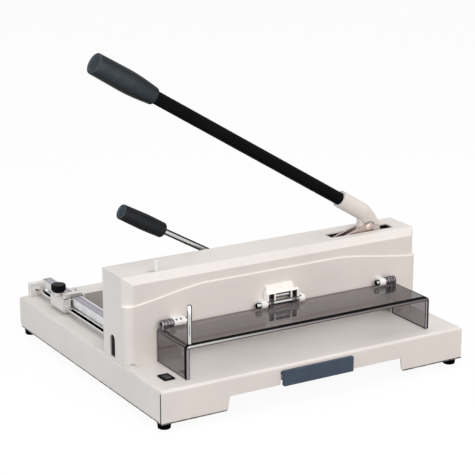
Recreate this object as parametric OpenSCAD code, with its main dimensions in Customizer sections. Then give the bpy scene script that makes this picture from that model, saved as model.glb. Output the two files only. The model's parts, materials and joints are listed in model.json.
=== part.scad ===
// Lever stack cutter: a table base with a drawer, a blade housing across it, a main lever that
// drives a sloping blade through a pair of straps, a clamp with its own lever, a swing-up guard
// in front and a sliding back gauge behind.
// Lengths are in millimetres and angles in degrees. X runs along the cut, Y from the front to
// the back, Z up from the desk. Places are counted from the middle of the base.

/* [Frame] */
// Distance from the middle of the whole outline to the middle of the base
frame_x = 15; // [0:0.5:40]

/* [Base] */
// Width of the base, left to right
base_w = 560; // [540:1:600]
// Depth of the base, front to back
base_d = 517; // [500:1:560]
// Height of the table top above the desk
table_z = 65.5; // [62:0.5:75]
// Thickness of the base's sheet
base_t = 2.5; // [2:0.1:3.5]
// Radius of the folded top edges
base_edge_r = 5; // [4:0.5:8]
// Width of the bottom flanges along both sides
flange_w = 30; // [28:1:45]
// Chamfer along the lower rear edge
rear_chamfer = 7; // [2:0.5:9]
// Left end of the arch in the front apron, from the middle
arch_left = 162; // [120:1:200]
// Right end of the arch in the front apron, from the middle
arch_right = 157; // [120:1:200]
// Height of the arch's straight edge above the desk
arch_z = 34.5; // [26:0.5:35]
// Radius of the arch's upper corners
arch_r = 3; // [2:0.5:6]
// How much wider the arch is at its foot, on either side
arch_splay = 3.5; // [0:0.5:8]
// Radius of the apron's corners at the arch's foot
arch_foot_r = 5; // [2:0.5:7]

/* [Feet] */
// Height of the rubber feet
foot_h = 11.5; // [8:0.5:14]
// Diameter of the rubber feet
foot_d = 22; // [16:1:26]
// Distance of the feet from the left and right sides
foot_inset_x = 12.5; // [12.5:0.5:17]
// Distance of the feet from the front and the back
foot_inset_y = 16; // [12.5:0.5:30]

/* [Drawer] */
// Width of the drawer's front plate
drawer_front_w = 129.5; // [110:0.5:160]
// Height of the drawer's front plate
drawer_front_h = 25; // [23:0.5:26]
// Thickness of the drawer's front plate
drawer_front_t = 6.5; // [3:0.5:8]
// Height of the front plate's lower edge above the desk
drawer_front_z = 33.5; // [32:0.5:34]
// Distance of the drawer's middle from the middle of the base, to the right
drawer_x = -4; // [-20:0.5:20]
// Depth of the drawer's tray
drawer_d = 134; // [90:1:138]
// Wall of the drawer's tray
drawer_t = 2; // [1.5:0.1:3]
// Overhang of the tray's side lips
drawer_lip = 5; // [4:0.5:7]

/* [Switch] */
// Width of the switch bezel
switch_w = 19; // [17:0.5:24]
// Length of the switch bezel
switch_l = 25.5; // [23:0.5:32]
// Distance from the base's left side to the middle of the switch
switch_x = 34; // [28:0.5:45]
// Distance from the base's front to the middle of the switch
switch_y = 48; // [35:0.5:60]

/* [Housing] */
// Gap from the base's left side to the housing
housing_gap_left = 2.5; // [1:0.5:10]
// Gap from the base's right side to the housing
housing_gap_right = 9.5; // [5:0.5:20]
// Distance from the base's front to the housing's front panel
housing_setback = 115.5; // [110:0.5:130]
// Depth of the housing
housing_d = 79.5; // [78:0.5:90]
// Height of the housing above the table
housing_h = 140.5; // [140:0.5:150]
// Thickness of the cover's sheet
cover_t = 2.5; // [1.5:0.1:3]
// Thickness of the front panel, which stands proud of the cover
panel_t = 1.6; // [1.2:0.1:2.4]
// Depth of the sloping facet along the cover's top
facet_d = 13.3; // [8:0.1:16]
// Height of the sloping facet along the cover's top
facet_h = 10.5; // [6:0.1:14]
// Chamfer of the cover's upright front corners
corner_c = 13.3; // [8:0.1:16]
// Height of the panel's curved top edge at the ends, above the table
seam_end_h = 96; // [85:0.5:105]
// Rise of the panel's curved top edge towards the middle
seam_rise = 19.5; // [0:0.5:25]
// Length of the left bend of the curved edge
seam_left_run = 140; // [80:1:200]
// Length of the right bend of the curved edge
seam_right_run = 160; // [80:1:200]
// Thickness of the rear panel
rear_t = 2; // [1.5:0.1:3]

/* [Throat] */
// Distance from each side of the base to the paper throat
throat_side = 58; // [56:0.5:65]
// Height of the paper throat above the table
throat_h = 43.3; // [42:0.1:45]

/* [Lever] */
// Distance from the housing's right end to the lever's pivot
pivot_x = 81; // [78:0.5:84]
// Height of the lever's pivot above the table
pivot_h = 67; // [66:0.5:72]
// Angle of the raised lever above level
lever_raise = 31.4; // [28:0.1:36]
// Distance of the tube's axis from the pivot
tube_offset = 88; // [86:0.5:92]
// Diameter of the lever's tube
tube_d = 21; // [18:0.5:22]
// Wall of the lever's tube
tube_wall = 2.5; // [1.5:0.1:4]
// Outer diameter of the bracket's socket
socket_d = 28.6; // [27:0.1:30]
// Distance from the pivot to the socket's mouth, along the tube
socket_far = 113; // [100:0.5:125]
// Distance from the pivot to the socket's root, along the tube
socket_near = 56; // [52:0.5:60]
// Diameter of the pivot shaft
shaft_d = 18; // [14:0.5:20]
// Distance from the pivot to the grip's near end, along the tube
grip_start = 513; // [480:1:540]
// Length of the grip
grip_l = 116; // [100:1:130]
// Diameter of the grip at its near end
grip_near_d = 28.5; // [26:0.5:32]
// Diameter of the grip at its widest
grip_wide_d = 36.5; // [33:0.5:42]
// Length of the lever slot in the cover
lever_slot_l = 124; // [122:1:126]
// Width of the lever slot in the cover
lever_slot_w = 25; // [24:0.5:28]
// Distance from the housing's right end to the lever slot
lever_slot_x = 29; // [27:0.5:31]

/* [Blade] */
// Distance from the front panel to the middle of the blade carrier
cut_setback = 41.5; // [40:0.5:43]
// Thickness of the blade carrier
carrier_t = 10; // [8:0.5:11]
// How much shorter than the throat the blade carrier is
carrier_short = 96; // [88:1:124]
// Height of the blade carrier
carrier_h = 68; // [60:0.5:70]
// How much shorter than the throat the blade is
blade_short = 4; // [2:1:24]
// Height of the blade
blade_h = 35; // [28:0.5:40]
// Thickness of the blade
blade_t = 4; // [3:0.1:5]
// Height of the bevel on the blade
bevel_h = 9; // [5:0.5:12]
// Sideways travel of the blade during the cut
blade_side = 21.2; // [18:0.1:24]
// Diameter of the guide rollers
roller_d = 18; // [14:0.5:20]
// Length of the straps between their pins
strap_l = 108; // [106:0.5:110]
// Slope of the straps at rest, below level
strap_slope = 16.74; // [14:0.01:19]
// Width of the straps between their eyes
strap_w = 15; // [10:0.5:17]
// Thickness of each strap
strap_t = 4; // [3:0.1:4.4]
// Diameter of the bolt and the pin in the straps
strap_pin_d = 10; // [8:0.5:11]
// Clearance of the straps' eyes round the carrier's pin
strap_play = 2.3; // [2.2:0.1:2.5]
// Width of the cutting stick
stick_w = 10; // [8:0.5:12]
// Height of the cutting stick
stick_h = 10; // [6:0.5:12]

/* [Clamp] */
// Distance from the middle of the base to the clamp lever's pivot
clamp_pivot_x = 10; // [0:0.5:20]
// Height of the clamp lever's pivot above the table
clamp_pivot_h = 80.6; // [79:0.1:84]
// Angle of the raised clamp lever above level
clamp_raise = 29.7; // [25:0.1:33]
// Length of the clamp's crank
crank_l = 67; // [64:0.5:70]
// Depth of the clamp bar
clamp_d = 22; // [20:0.5:22.5]
// Height of the clamp bar
clamp_h = 17; // [14:0.5:18]
// Thickness of the pad under the clamp bar
clamp_pad_t = 3; // [2:0.1:4]
// Diameter of the clamp's shaft
clamp_shaft_d = 14; // [12:0.5:15]
// Diameter of the clamp lever's rod
clamp_rod_d = 10; // [8:0.5:12]
// Distance from the pivot to the clamp grip's near end
clamp_grip_start = 198; // [180:1:210]
// Length of the clamp grip
clamp_grip_l = 84; // [70:1:95]
// Diameter of the clamp grip
clamp_grip_d = 27; // [22:0.5:30]
// Distance from the middle to each of the clamp's guide rods
clamp_guide_x = 150; // [120:1:180]
// Diameter of the clamp's guide rods
clamp_guide_d = 10; // [8:0.5:11]

/* [Guard] */
// Distance that the guard reaches past each end of the throat
guard_lap = 4.5; // [3:0.5:6]
// Height of the guard above the table
guard_h = 56.3; // [54:0.1:58]
// Distance from the guard's front edge to the base's front
guard_front = 20.5; // [10:0.5:40]
// Thickness of the guard's sheet
guard_t = 7; // [4:0.5:7.5]
// Outer radius of the guard's bends
guard_bend_r = 8; // [7.5:0.5:14]
// Distance of the hinge axis in front of the panel
hinge_out = 10; // [9.5:0.5:12]
// Height of the hinge axis above the guard
hinge_rise = 6.7; // [6.5:0.1:7.5]
// Diameter of the hinge pins
hinge_pin_d = 7; // [5:0.5:8]
// Diameter of the upright rod on the guard
guard_rod_d = 7.5; // [6:0.5:10]
// Length of the upright rod above the guard
guard_rod_l = 61.5; // [50:0.5:75]

/* [Gauge] */
// Distance from the base's left side to the gauge rod
gauge_rod_x = 32; // [30:0.5:34]
// Height of the gauge rod above the table
gauge_rod_h = 10.5; // [9:0.5:12]
// Diameter of the gauge rod
gauge_rod_d = 10; // [8:0.5:11]
// Distance from the base's left side to the ruler's left edge
ruler_x = 42; // [41:0.5:44]
// Width of the ruler's top
ruler_w = 18; // [15:0.5:18]
// Height of the ruler above the table
ruler_h = 26; // [25:0.5:28]
// Distance from the base's front to the gauge's face
gauge_face_y = 386.5; // [340:0.5:400]
// Depth of the gauge beam
gauge_beam_d = 36; // [25:0.5:40]
// Height of the gauge beam above the table
gauge_beam_h = 32; // [30:0.5:36]
// Length of the carriage along the rod
carriage_l = 50; // [46:0.5:54]
// Width of the carriage
carriage_w = 17; // [16:0.5:17.5]
// Height of the carriage above the table
carriage_h = 25; // [24:0.5:26]
// Diameter of the carriage's knob
knob_d = 25; // [20:0.5:30]
// Height of the carriage's knob
knob_h = 13; // [9:0.5:16]

/* [Hidden] */
$fn = 48;
hull_fn = 32;

// Clearances
// Radial clearance of shafts and pins in their bores
run_fit = 0.05;
// Gap between flat sliding faces
slide_gap = 0.5;
// Small overlap that carries a cut past a face
past = 1;

// Base
base_left = -base_w / 2;
base_right = base_w / 2;
base_front = -base_d / 2;
base_back = base_d / 2;
table_under = table_z - base_t;
throat_w = base_w - 2 * throat_side;

// Housing
housing_left = base_left + housing_gap_left;
housing_right = base_right - housing_gap_right;
panel_y = base_front + housing_setback;
cover_y = panel_y + panel_t;
back_y = panel_y + housing_d;
top_z = table_z + housing_h;
inner_left = housing_left + cover_t;
inner_right = housing_right - cover_t;
inner_top = top_z - cover_t;
throat_z = table_z + throat_h;
// Rounded corners of the front panel stand this far out at the housing's ends
panel_wrap = 0.6;
panel_r = corner_c + panel_t;

// Layers of the cutting mechanism, front to back
cut_y = panel_y + cut_setback;
carrier_front = cut_y - carrier_t / 2;
carrier_back = cut_y + carrier_t / 2;
strap_front = carrier_front - slide_gap - strap_t;
strap_back = carrier_back + slide_gap + strap_t;
blade_back = carrier_back + blade_t;
// Gap between the straps and the beams on either side
strap_room = 1.5;
beam_t = 10;
beam_back = strap_front - strap_room;
beam_front = beam_back - beam_t;
rear_beam_t = 8;
rear_beam_front = max(strap_back, blade_back) + 1;
rear_beam_back = rear_beam_front + rear_beam_t;
clamp_front = rear_beam_front;
yoke_t = 5;
yoke_front = rear_beam_back + slide_gap;
yoke_back = yoke_front + yoke_t;
crank_t = 7;
crank_front = yoke_back + 1;
crank_back = crank_front + crank_t;

// Inner frame
pillar_t = 34;
right_pillar_t = 16;
rod_seat = 12;
pillar_gap = 4.5;
pillar_top = inner_top - pillar_gap;
// Height of the beams' lower edges above the throat, and depth of their upper edges below the top
beam_lift = 5;
rear_beam_lift = 25;
beam_sink = 8;
beam_z = [throat_z + beam_lift, top_z - beam_sink];
rear_beam_z = [throat_z + rear_beam_lift, top_z - beam_sink];

// Lever
lever_x = housing_right - pivot_x;
lever_z = table_z + pivot_h;
boss_r = 18;
// Wall of the bronze bushes, and reach of their flanges
bush_wall = 3;
bush_flange = 4;
pivot_bush_d = shaft_d + 2 * bush_wall;
// Strap bolt on the bracket, from the pivot, with the lever level
bolt_at = [-36.4, tube_offset - 18.8];
bolt_x = lever_x + bolt_at[0] * cos(lever_raise) + bolt_at[1] * sin(lever_raise);
bolt_z = lever_z - bolt_at[0] * sin(lever_raise) + bolt_at[1] * cos(lever_raise);
strap_pin_x = bolt_x - strap_l * cos(strap_slope);
strap_pin_z = bolt_z - strap_l * sin(strap_slope);
eye_r = 10;
pin_eye_r = 11;

// Blade
// Distances from the strap pin to the carrier's right end and to the near roller
pin_inset = 58;
roller_reach = 62;
// Distance from the carrier's left end to the far roller
roller_inset = 68;
// Height of the raised edge above the throat, and of the lowered edge above the table
raised_gap = 0.5;
lowered_gap = 0.3;
blade_end_gap = 5;
blade_drop = throat_h + raised_gap - lowered_gap;
carrier_top = strap_pin_z + 10;
carrier_l = throat_w - carrier_short;
carrier_right = strap_pin_x + pin_inset;
carrier_left = carrier_right - carrier_l;
blade_z = throat_z + raised_gap;
blade_l = throat_w - blade_short;
stick_y = blade_back - blade_t / 2;
blade_right = inner_right - right_pillar_t - blade_end_gap;
blade_left = blade_right - blade_l;
roller_x = [carrier_left + roller_inset, strap_pin_x - roller_reach];
roller_z = carrier_top - 16;

// Clamp
clamp_z = throat_z + raised_gap;
crank_raise = asin(blade_drop / 2 / crank_l);
clamp_top = clamp_z + clamp_pad_t + clamp_h;
clamp_pivot_z = table_z + clamp_pivot_h;
crank_pin_x = clamp_pivot_x - crank_l * cos(crank_raise);
crank_pin_z = clamp_pivot_z + crank_l * sin(crank_raise);
crank_pin_d = 10;
clamp_bush_d = clamp_shaft_d + 2 * bush_wall;
clamp_bore_d = clamp_shaft_d + 2 * run_fit;
clamp_guide_y = clamp_front + clamp_d - clamp_guide_d / 2 - 2;
// Gap between the lowered grip and the rear panel
clamp_grip_gap = 2;
clamp_lever_y = back_y + clamp_grip_d / 2 + clamp_grip_gap;

// Guard
guard_w = throat_w + 2 * guard_lap;
guard_top = table_z + guard_h;
guard_front_y = base_front + guard_front;
// Gaps between the guard and the panel, and between the hinge barrels and the guard
guard_gap = 1;
barrel_gap = 0.7;
guard_back_y = panel_y - guard_gap;
hinge_y = panel_y - hinge_out;
hinge_z = guard_top + hinge_rise;
barrel_r = hinge_rise - barrel_gap;
// Radius that the knuckles' ribs have over the barrels, and length of a knuckle
knuckle_rim = 1;
knuckle_r = barrel_r + knuckle_rim;
knuckle_l = 20.5;
// Distances of the left and the right hinge from the guard's sides, and lengths of their barrels
hinge_inset = [3.5, 9];
barrel_l = [21, 10.5];
hinge_left = -guard_w / 2 + hinge_inset[0];
hinge_right = guard_w / 2 - hinge_inset[1];
// Distances of the upright rod from the guard's left side and its front edge
guard_rod_inset = 9.5;
guard_rod_setback = 5.5;

// Gauge
rod_x = base_left + gauge_rod_x;
rod_z = table_z + gauge_rod_h;
ruler_left = base_left + ruler_x;
ruler_right = ruler_left + ruler_w;
face_y = base_front + gauge_face_y;
// Clearance of the gauge over the table
table_gap = 1;
bracket_t = 11;
// Distances of the bracket's back from the base's back, and of its left side from the rod
bracket_inset = 5;
bracket_reach = 17.5;
// Depth of the rod's seat in the bracket, and how much lower than the ruler the bracket is
bracket_seat = 7;
bracket_drop = 2;
bracket_front = base_back - bracket_inset - bracket_t;
// Height of the ruler's left face, and setback of the foot under it
ruler_flange = 14.5;
ruler_step = 9;
// Gap between the carriage and the ruler, and height of the collar under the knob
carriage_gap = 3;
collar_h = 5.6;
carriage_left = ruler_left - carriage_gap - carriage_w;
knob_y = face_y + carriage_l * 0.7;
knob_z = table_z + carriage_h + collar_h;
// Stretch of the carriage, behind its front, that carries the beam
shoulder_y = [face_y + 8, face_y + 20];

// Colours
cream = [0.86, 0.84, 0.81];
pale = [0.80, 0.79, 0.77];
black = [0.09, 0.09, 0.10];
steel = [0.62, 0.63, 0.65];
chrome = [0.78, 0.79, 0.80];
dark_steel = [0.38, 0.39, 0.41];
smoke = [0.35, 0.34, 0.36, 0.6];
slate = [0.28, 0.34, 0.42];

// Shared shapes

// Moves the whole part so that its outline stands over the origin
module in_frame() {
    translate([frame_x, 0, 0]) children();
}

// A box between two corners, given as [low, high] along each axis
module block(x, y, z) {
    translate([x[0], y[0], z[0]]) cube([x[1] - x[0], y[1] - y[0], z[1] - z[0]]);
}

// Extrudes an outline drawn in Y and Z along X
module along_x(x0, x1) {
    translate([x0, 0, 0]) rotate([90, 0, 90]) linear_extrude(x1 - x0) children();
}

// Extrudes an outline drawn in X and Z along Y
module along_y(y0, y1) {
    translate([0, y1, 0]) rotate([90, 0, 0]) linear_extrude(y1 - y0) children();
}

// Extrudes an outline drawn in X and Y along Z
module along_z(z0, z1) {
    translate([0, 0, z0]) linear_extrude(z1 - z0) children();
}

module rod_along_x(x0, x1, y, z, d) {
    translate([x0, y, z]) rotate([0, 90, 0]) cylinder(d = d, h = x1 - x0);
}

module rod_along_y(y0, y1, x, z, d) {
    translate([x, y0, z]) rotate([-90, 0, 0]) cylinder(d = d, h = y1 - y0);
}

module rod_along_z(z0, z1, x, y, d) {
    translate([x, y, z0]) cylinder(d = d, h = z1 - z0);
}

// A rectangle on the X axis with its two upper corners rounded
module round_topped(w, h, r) {
    translate([-w / 2, 0]) square([w, h - r]);
    translate([-w / 2 + r, 0]) square([w - 2 * r, h]);
    for (side = [-1, 1]) translate([side * (w / 2 - r), h - r]) circle(r);
}

// A rectangle with four rounded corners, from its lower left corner
module round_rect(w, h, r) {
    translate([0, r]) square([w, h - 2 * r]);
    translate([r, 0]) square([w - 2 * r, h]);
    for (x = [r, w - r], y = [r, h - r]) translate([x, y]) circle(r);
}

// Points round an arc
function arc(centre, r, from, to, steps = 6) = [for (i = [0:steps])
    let (angle = from + (to - from) * i / steps) centre + r * [cos(angle), sin(angle)]];

// Points in the reverse order, mirrored from right to left
function flip(points) = [for (i = [len(points) - 1:-1:0]) [-points[i][0], points[i][1]]];

// A slot with round ends between two points
module slot(from, to, d) {
    run = to - from;
    // A hair narrower than the round ends, so that the sides cross them cleanly
    side = d - 0.02;
    for (end = [from, to]) translate(end) circle(d = d);
    translate(from) rotate(atan2(run[1], run[0])) translate([0, -side / 2]) square([norm(run), side]);
}

// Base

module base_block(inset) {
    w = base_w - 2 * inset;
    d = base_d - 2 * inset;
    h = table_z - foot_h - inset;
    r = base_edge_r - inset;
    translate([0, 0, foot_h]) intersection() {
        along_y(-d / 2, d / 2) round_topped(w, h, r);
        along_x(-w / 2, w / 2) round_topped(d, h, r);
    }
}

module base_flange(side) {
    outer = side * (base_w / 2 - base_t / 2);
    inner = side * (base_w / 2 - flange_w);
    block([min(outer, inner), max(outer, inner)], [base_front + base_t / 2, base_back - base_t / 2],
        [foot_h, foot_h + base_t]);
}

module switch_cut(grow) {
    w = switch_w - 5 + grow;
    l = switch_l - 5 + grow;
    x = base_left + switch_x;
    y = base_front + switch_y;
    block([x - w / 2, x + w / 2], [y - l / 2, y + l / 2], [table_z - 20, table_z + 10]);
}

// One end of the arch, from its foot to its top, where the straight edge ends at x on the right
function arch_end(x) = let (
    lean = atan2(arch_splay, arch_z - foot_h),
    foot_x = x + arch_splay + arch_foot_r / tan(45 + lean / 2),
    top_x = x - arch_r / tan(45 + lean / 2)
) concat(
    [[foot_x, foot_h - past]],
    arc([foot_x, foot_h + arch_foot_r], arch_foot_r, 270, 180 + lean),
    arc([top_x, arch_z - arch_r], arch_r, lean, 90)
);

// Gap between the drawer's front plate and the apron beside it, and radius of the apron's corners there
notch_gap = 2.2;
notch_r = 3;
// Lap of the front plate over the apron above it
notch_lap = 2;

// Opening in the front apron: the arch, with a notch over it for the drawer
module apron_opening() {
    half = drawer_front_w / 2 + notch_gap;
    top = drawer_front_z + drawer_front_h - notch_lap;
    polygon(concat(
        arch_end(arch_right),
        arc([drawer_x + half + notch_r, arch_z + notch_r], notch_r, 270, 180),
        [[drawer_x + half, top], [drawer_x - half, top]],
        arc([drawer_x - half - notch_r, arch_z + notch_r], notch_r, 0, -90),
        flip(arch_end(arch_left))
    ));
}

module base_shell() {
    stick_half = stick_w / 2 + run_fit;
    color(cream) difference() {
        union() {
            difference() {
                base_block(0);
                base_block(base_t);
                translate([0, 0, -past]) base_block(base_t);
            }
            for (side = [-1, 1]) base_flange(side);
        }
        along_y(base_front - past, base_front + base_t + past) apron_opening();
        along_x(base_left - past, base_right + past) polygon([
            [base_back + past, foot_h - past],
            [base_back - rear_chamfer - past, foot_h - past],
            [base_back + past, foot_h + rear_chamfer + past]
        ]);
        block([-throat_w / 2, throat_w / 2], [stick_y - stick_half, stick_y + stick_half],
            [table_under - past, table_z + past]);
        switch_cut(0.2);
        for (side = [0, 1]) mirror([side, 0, 0]) corner_seam();
    }
}

// Groove down the side where the front apron's fold ends
groove_setback = 2;
groove_w = 3.5;
groove_deep = 1.2;

module corner_seam() {
    start = base_front + groove_setback;
    block([base_left - past, base_left + groove_deep], [start, start + groove_w],
        [foot_h - past, table_z - base_edge_r]);
}

module rubber_feet() {
    x = base_w / 2 - foot_inset_x;
    y = base_d / 2 - foot_inset_y;
    color(black) for (sx = [-1, 1], sy = [-1, 1]) translate([sx * x, sy * y, 0]) {
        rotate_extrude() polygon([
            [0, 0], [foot_d / 2 - 2, 0], [foot_d / 2 - 1, 1], [foot_d / 2, foot_h], [0, foot_h]
        ]);
    }
}

module cutting_stick() {
    half = stick_w / 2;
    color("firebrick") block([-throat_w / 2 + 1, throat_w / 2 - 1], [stick_y - half, stick_y + half],
        [table_z - stick_h, table_z]);
}

module stick_channel() {
    half = stick_w / 2 + run_fit;
    wall = 2;
    brim = 10;
    floor_z = table_z - stick_h;
    color(steel) along_x(-throat_w / 2, throat_w / 2) translate([stick_y, 0]) polygon([
        [-half - wall - brim, table_under], [-half - wall - brim, table_under - wall],
        [-half - wall, table_under - wall], [-half - wall, floor_z - wall],
        [half + wall, floor_z - wall], [half + wall, table_under - wall],
        [half + wall + brim, table_under - wall], [half + wall + brim, table_under],
        [half, table_under], [half, floor_z], [-half, floor_z], [-half, table_under]
    ]);
}

// Drawer

// Distance of the tray's lips from the ends of the front plate, and of its rim from the plate's top
lip_inset = 3.5;
rim_drop = 4;
lip_t = 2;
drawer_half = drawer_front_w / 2 - lip_inset - drawer_lip;
drawer_gap_y = 0.3;
tray_top = drawer_front_z + drawer_front_h - rim_drop;
tray_bottom = arch_z + 1;
drawer_front_r = 1.2;

module drawer_front() {
    back = base_front - drawer_gap_y;
    left = drawer_x - drawer_front_w / 2;
    color(slate) translate([left, 0, drawer_front_z]) along_y(back - drawer_front_t, back)
        round_rect(drawer_front_w, drawer_front_h, drawer_front_r);
}

module drawer_tray() {
    front = base_front - drawer_gap_y;
    back = front + drawer_d;
    lip_half = drawer_half + drawer_lip;
    color(pale) translate([drawer_x, 0, 0]) difference() {
        union() {
            block([-drawer_half, drawer_half], [front, back], [tray_bottom, tray_top]);
            block([-lip_half, lip_half], [front, back], [tray_top - lip_t, tray_top]);
        }
        block([-drawer_half + drawer_t, drawer_half - drawer_t], [front + drawer_t, back - drawer_t],
            [tray_bottom + drawer_t, tray_top + past]);
    }
}

module drawer_runners() {
    ledge = tray_top - lip_t - drawer_gap_y;
    near = drawer_half + 0.6;
    web = drawer_half + drawer_lip + 0.6;
    wall = 2;
    color(steel) for (side = [0, 1]) translate([drawer_x, 0, 0]) mirror([side, 0, 0])
        along_y(base_front + base_edge_r, base_front + drawer_d) polygon([
            [near, ledge - wall], [web + wall, ledge - wall], [web + wall, table_under], [web, table_under],
            [web, ledge], [near, ledge]
        ]);
}

// Switch

module switch_bezel() {
    x = base_left + switch_x;
    y = base_front + switch_y;
    color(black) difference() {
        union() {
            translate([x - switch_w / 2, y - switch_l / 2, 0]) along_z(table_z, table_z + 2)
                round_rect(switch_w, switch_l, 2);
            switch_body(0);
        }
        translate([x, y, 0]) block([-5.2, 5.2], [-8.5, 8.5], [table_z - 10, table_z + 3]);
    }
}

module switch_body(grow) {
    intersection() {
        switch_cut(grow);
        block([base_left, base_right], [base_front, base_back], [table_z - 16, table_z + past]);
    }
}

module switch_rocker() {
    x = base_left + switch_x;
    y = base_front + switch_y;
    tilt = 7;
    half_w = 4.8;
    color([0.14, 0.14, 0.15]) translate([x, y, table_z - 1]) rotate([-tilt, 0, 0]) along_x(-half_w, half_w)
        difference() {
            intersection() {
                circle(8);
                translate([-8, -5]) square([16, 10]);
            }
            polygon([[-9, 6], [-9, 4.6], [0, 3.2], [9, 4.6], [9, 6]]);
        }
}

// Housing

// Cross-section of the cover, set in by the thickness of its sheet where asked
module cover_section(inset, reach) {
    slope = atan2(facet_h, facet_d);
    polygon([
        [back_y + reach, table_z - reach],
        [back_y + reach, top_z - inset],
        [cover_y + facet_d + inset * tan(slope / 2), top_z - inset],
        [cover_y + inset, top_z - facet_h - inset * tan((90 - slope) / 2)],
        [cover_y + inset, table_z - reach]
    ]);
}

// Plan of the cover with its chamfered front corners
module cover_plan(inset, reach) {
    cut = corner_c + inset * tan(22.5);
    polygon([
        [housing_left + inset, back_y + reach], [housing_left + inset, cover_y + cut],
        [housing_left + cut, cover_y + inset], [housing_right - cut, cover_y + inset],
        [housing_right - inset, cover_y + cut], [housing_right - inset, back_y + reach]
    ]);
}

module cover_block(inset, reach) {
    intersection() {
        along_x(housing_left - past, housing_right + past) cover_section(inset, reach);
        along_z(table_z - past - reach, top_z + past) cover_plan(inset, reach);
    }
}

module throat_cut(y0, y1) {
    block([-throat_w / 2, throat_w / 2], [y0, y1], [table_z - past, throat_z]);
}

// Slot in the left end for drawing the cutting stick out, round at the top
end_slot_w = 16;
end_slot_z = [table_z + 2.5, table_z + 39];

module end_slot(x0, x1) {
    half = end_slot_w / 2;
    side = half - 0.01;
    rod_along_x(x0, x1, stick_y, end_slot_z[1] - half, end_slot_w);
    block([x0, x1], [stick_y - side, stick_y + side], [end_slot_z[0], end_slot_z[1] - half]);
}

lock_inset = 65.5;
lock_setback = 7.5;
lock_x = housing_left + lock_inset;
lock_y = cover_y + facet_d + lock_setback;
lock_travel = 12;
lock_pin_d = 7;

module top_cover() {
    slot_right = housing_right - lever_slot_x;
    color(cream) difference() {
        cover_block(0, 0);
        cover_block(cover_t, past);
        throat_cut(cover_y - past, cover_y + cover_t + past);
        block([slot_right - lever_slot_l, slot_right],
            [cut_y - lever_slot_w / 2, cut_y + lever_slot_w / 2], [inner_top - past, top_z + past]);
        along_z(inner_top - past, top_z + past)
            slot([lock_x - lock_travel, lock_y], [lock_x, lock_y], lock_pin_d + 1);
        end_slot(housing_left - past, inner_left + past);
    }
}

// Height of the panel's curved top edge, straight and eased in equal shares
function ease(t) = t / 2 + (1 - cos(180 * t)) / 4;
function seam_z(x) = table_z + seam_end_h + seam_rise * min(
    ease(min(1, max(0, (x - housing_left) / seam_left_run))),
    ease(min(1, max(0, (housing_right - x) / seam_right_run))));

module panel_face() {
    steps = 14;
    left = housing_left - panel_wrap;
    right = housing_right + panel_wrap;
    left_end = housing_left + seam_left_run;
    right_end = housing_right - seam_right_run;
    polygon(concat(
        [[left, table_z], [left, seam_z(left)]],
        [for (i = [1:steps]) let (x = housing_left + seam_left_run * i / steps) [x, seam_z(x)]],
        [for (i = [0:steps - 1]) let (x = right_end + seam_right_run * i / steps) [x, seam_z(x)]],
        [[right, seam_z(right)], [right, table_z]]
    ));
}

module panel_plan() {
    left = housing_left - panel_wrap;
    right = housing_right + panel_wrap;
    intersection() {
        union() {
            translate([left + panel_r, panel_y]) square([right - left - 2 * panel_r, panel_r]);
            for (x = [left + panel_r, right - panel_r]) translate([x, panel_y + panel_r]) circle(panel_r);
        }
        translate([left, panel_y]) square([right - left, panel_r]);
    }
}

lug_inset = [8, 32];
lug_x = [housing_left + lug_inset[0], housing_right - lug_inset[1]];
lug_r = 6;
lug_t = 3;

module lower_panel() {
    color(cream) difference() {
        union() {
            intersection() {
                along_z(table_z, top_z) panel_plan();
                along_y(panel_y - past, panel_y + panel_r + past) panel_face();
            }
            for (x = lug_x) along_z(table_z, table_z + lug_t) {
                translate([x, panel_y - lug_r + 2]) circle(lug_r);
                translate([x - lug_r, panel_y - lug_r + 2]) square([2 * lug_r, lug_r - 1]);
            }
        }
        cover_block(0, past);
        throat_cut(panel_y - past, cover_y + past);
        for (x = lug_x) rod_along_z(table_z - past, table_z + lug_t + past, x, panel_y - lug_r + 2, 4);
    }
}

module housing_screws() {
    color(steel) for (x = lug_x) translate([x, panel_y - lug_r + 2, table_z]) {
        cylinder(d = 4, h = lug_t);
        translate([0, 0, lug_t]) difference() {
            rotate_extrude() polygon([[0, 0], [3.6, 0], [3.6, 0.8], [2.4, 2], [0, 2]]);
            translate([0, 0, 1.6]) cube([5, 0.9, 1.6], center = true);
        }
    }
}

module rear_panel() {
    color(cream) difference() {
        block([inner_left, inner_right], [back_y - rear_t, back_y], [throat_z, inner_top]);
        rod_along_y(back_y - rear_t - past, back_y + past, clamp_pivot_x, clamp_pivot_z, clamp_bush_d);
    }
}

// Inner frame

module left_pillar() {
    color(dark_steel) difference() {
        block([inner_left, inner_left + pillar_t], [beam_back, back_y - rear_t], [table_z, pillar_top]);
        end_slot(inner_left - past, inner_left + pillar_t + past);
        rod_along_y(back_y - rear_t - rod_seat, back_y, rod_x, rod_z, gauge_rod_d);
    }
}

module right_pillar() {
    color(dark_steel) block([inner_right - right_pillar_t, inner_right], [beam_back, back_y - rear_t],
        [table_z, pillar_top]);
}

beam_bolt_inset = 14;
bolt_rows = [beam_z[0] + beam_bolt_inset, beam_z[1] - beam_bolt_inset];
beam_bolt_x = [inner_left + pillar_t / 2, inner_right - right_pillar_t / 2];
beam_bolt_d = 8;

module front_beam() {
    color(dark_steel) difference() {
        block([inner_left, inner_right], [beam_front, beam_back], beam_z);
        along_y(beam_front - past, beam_back + past) {
            for (x = roller_x) slot([x, roller_z], [x - blade_side, roller_z - blade_drop], roller_d + 0.2);
            for (x = beam_bolt_x, z = bolt_rows) translate([x, z]) circle(d = beam_bolt_d);
        }
        rod_along_y(beam_front - past, beam_back + past, lever_x, lever_z, pivot_bush_d);
    }
}

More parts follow.
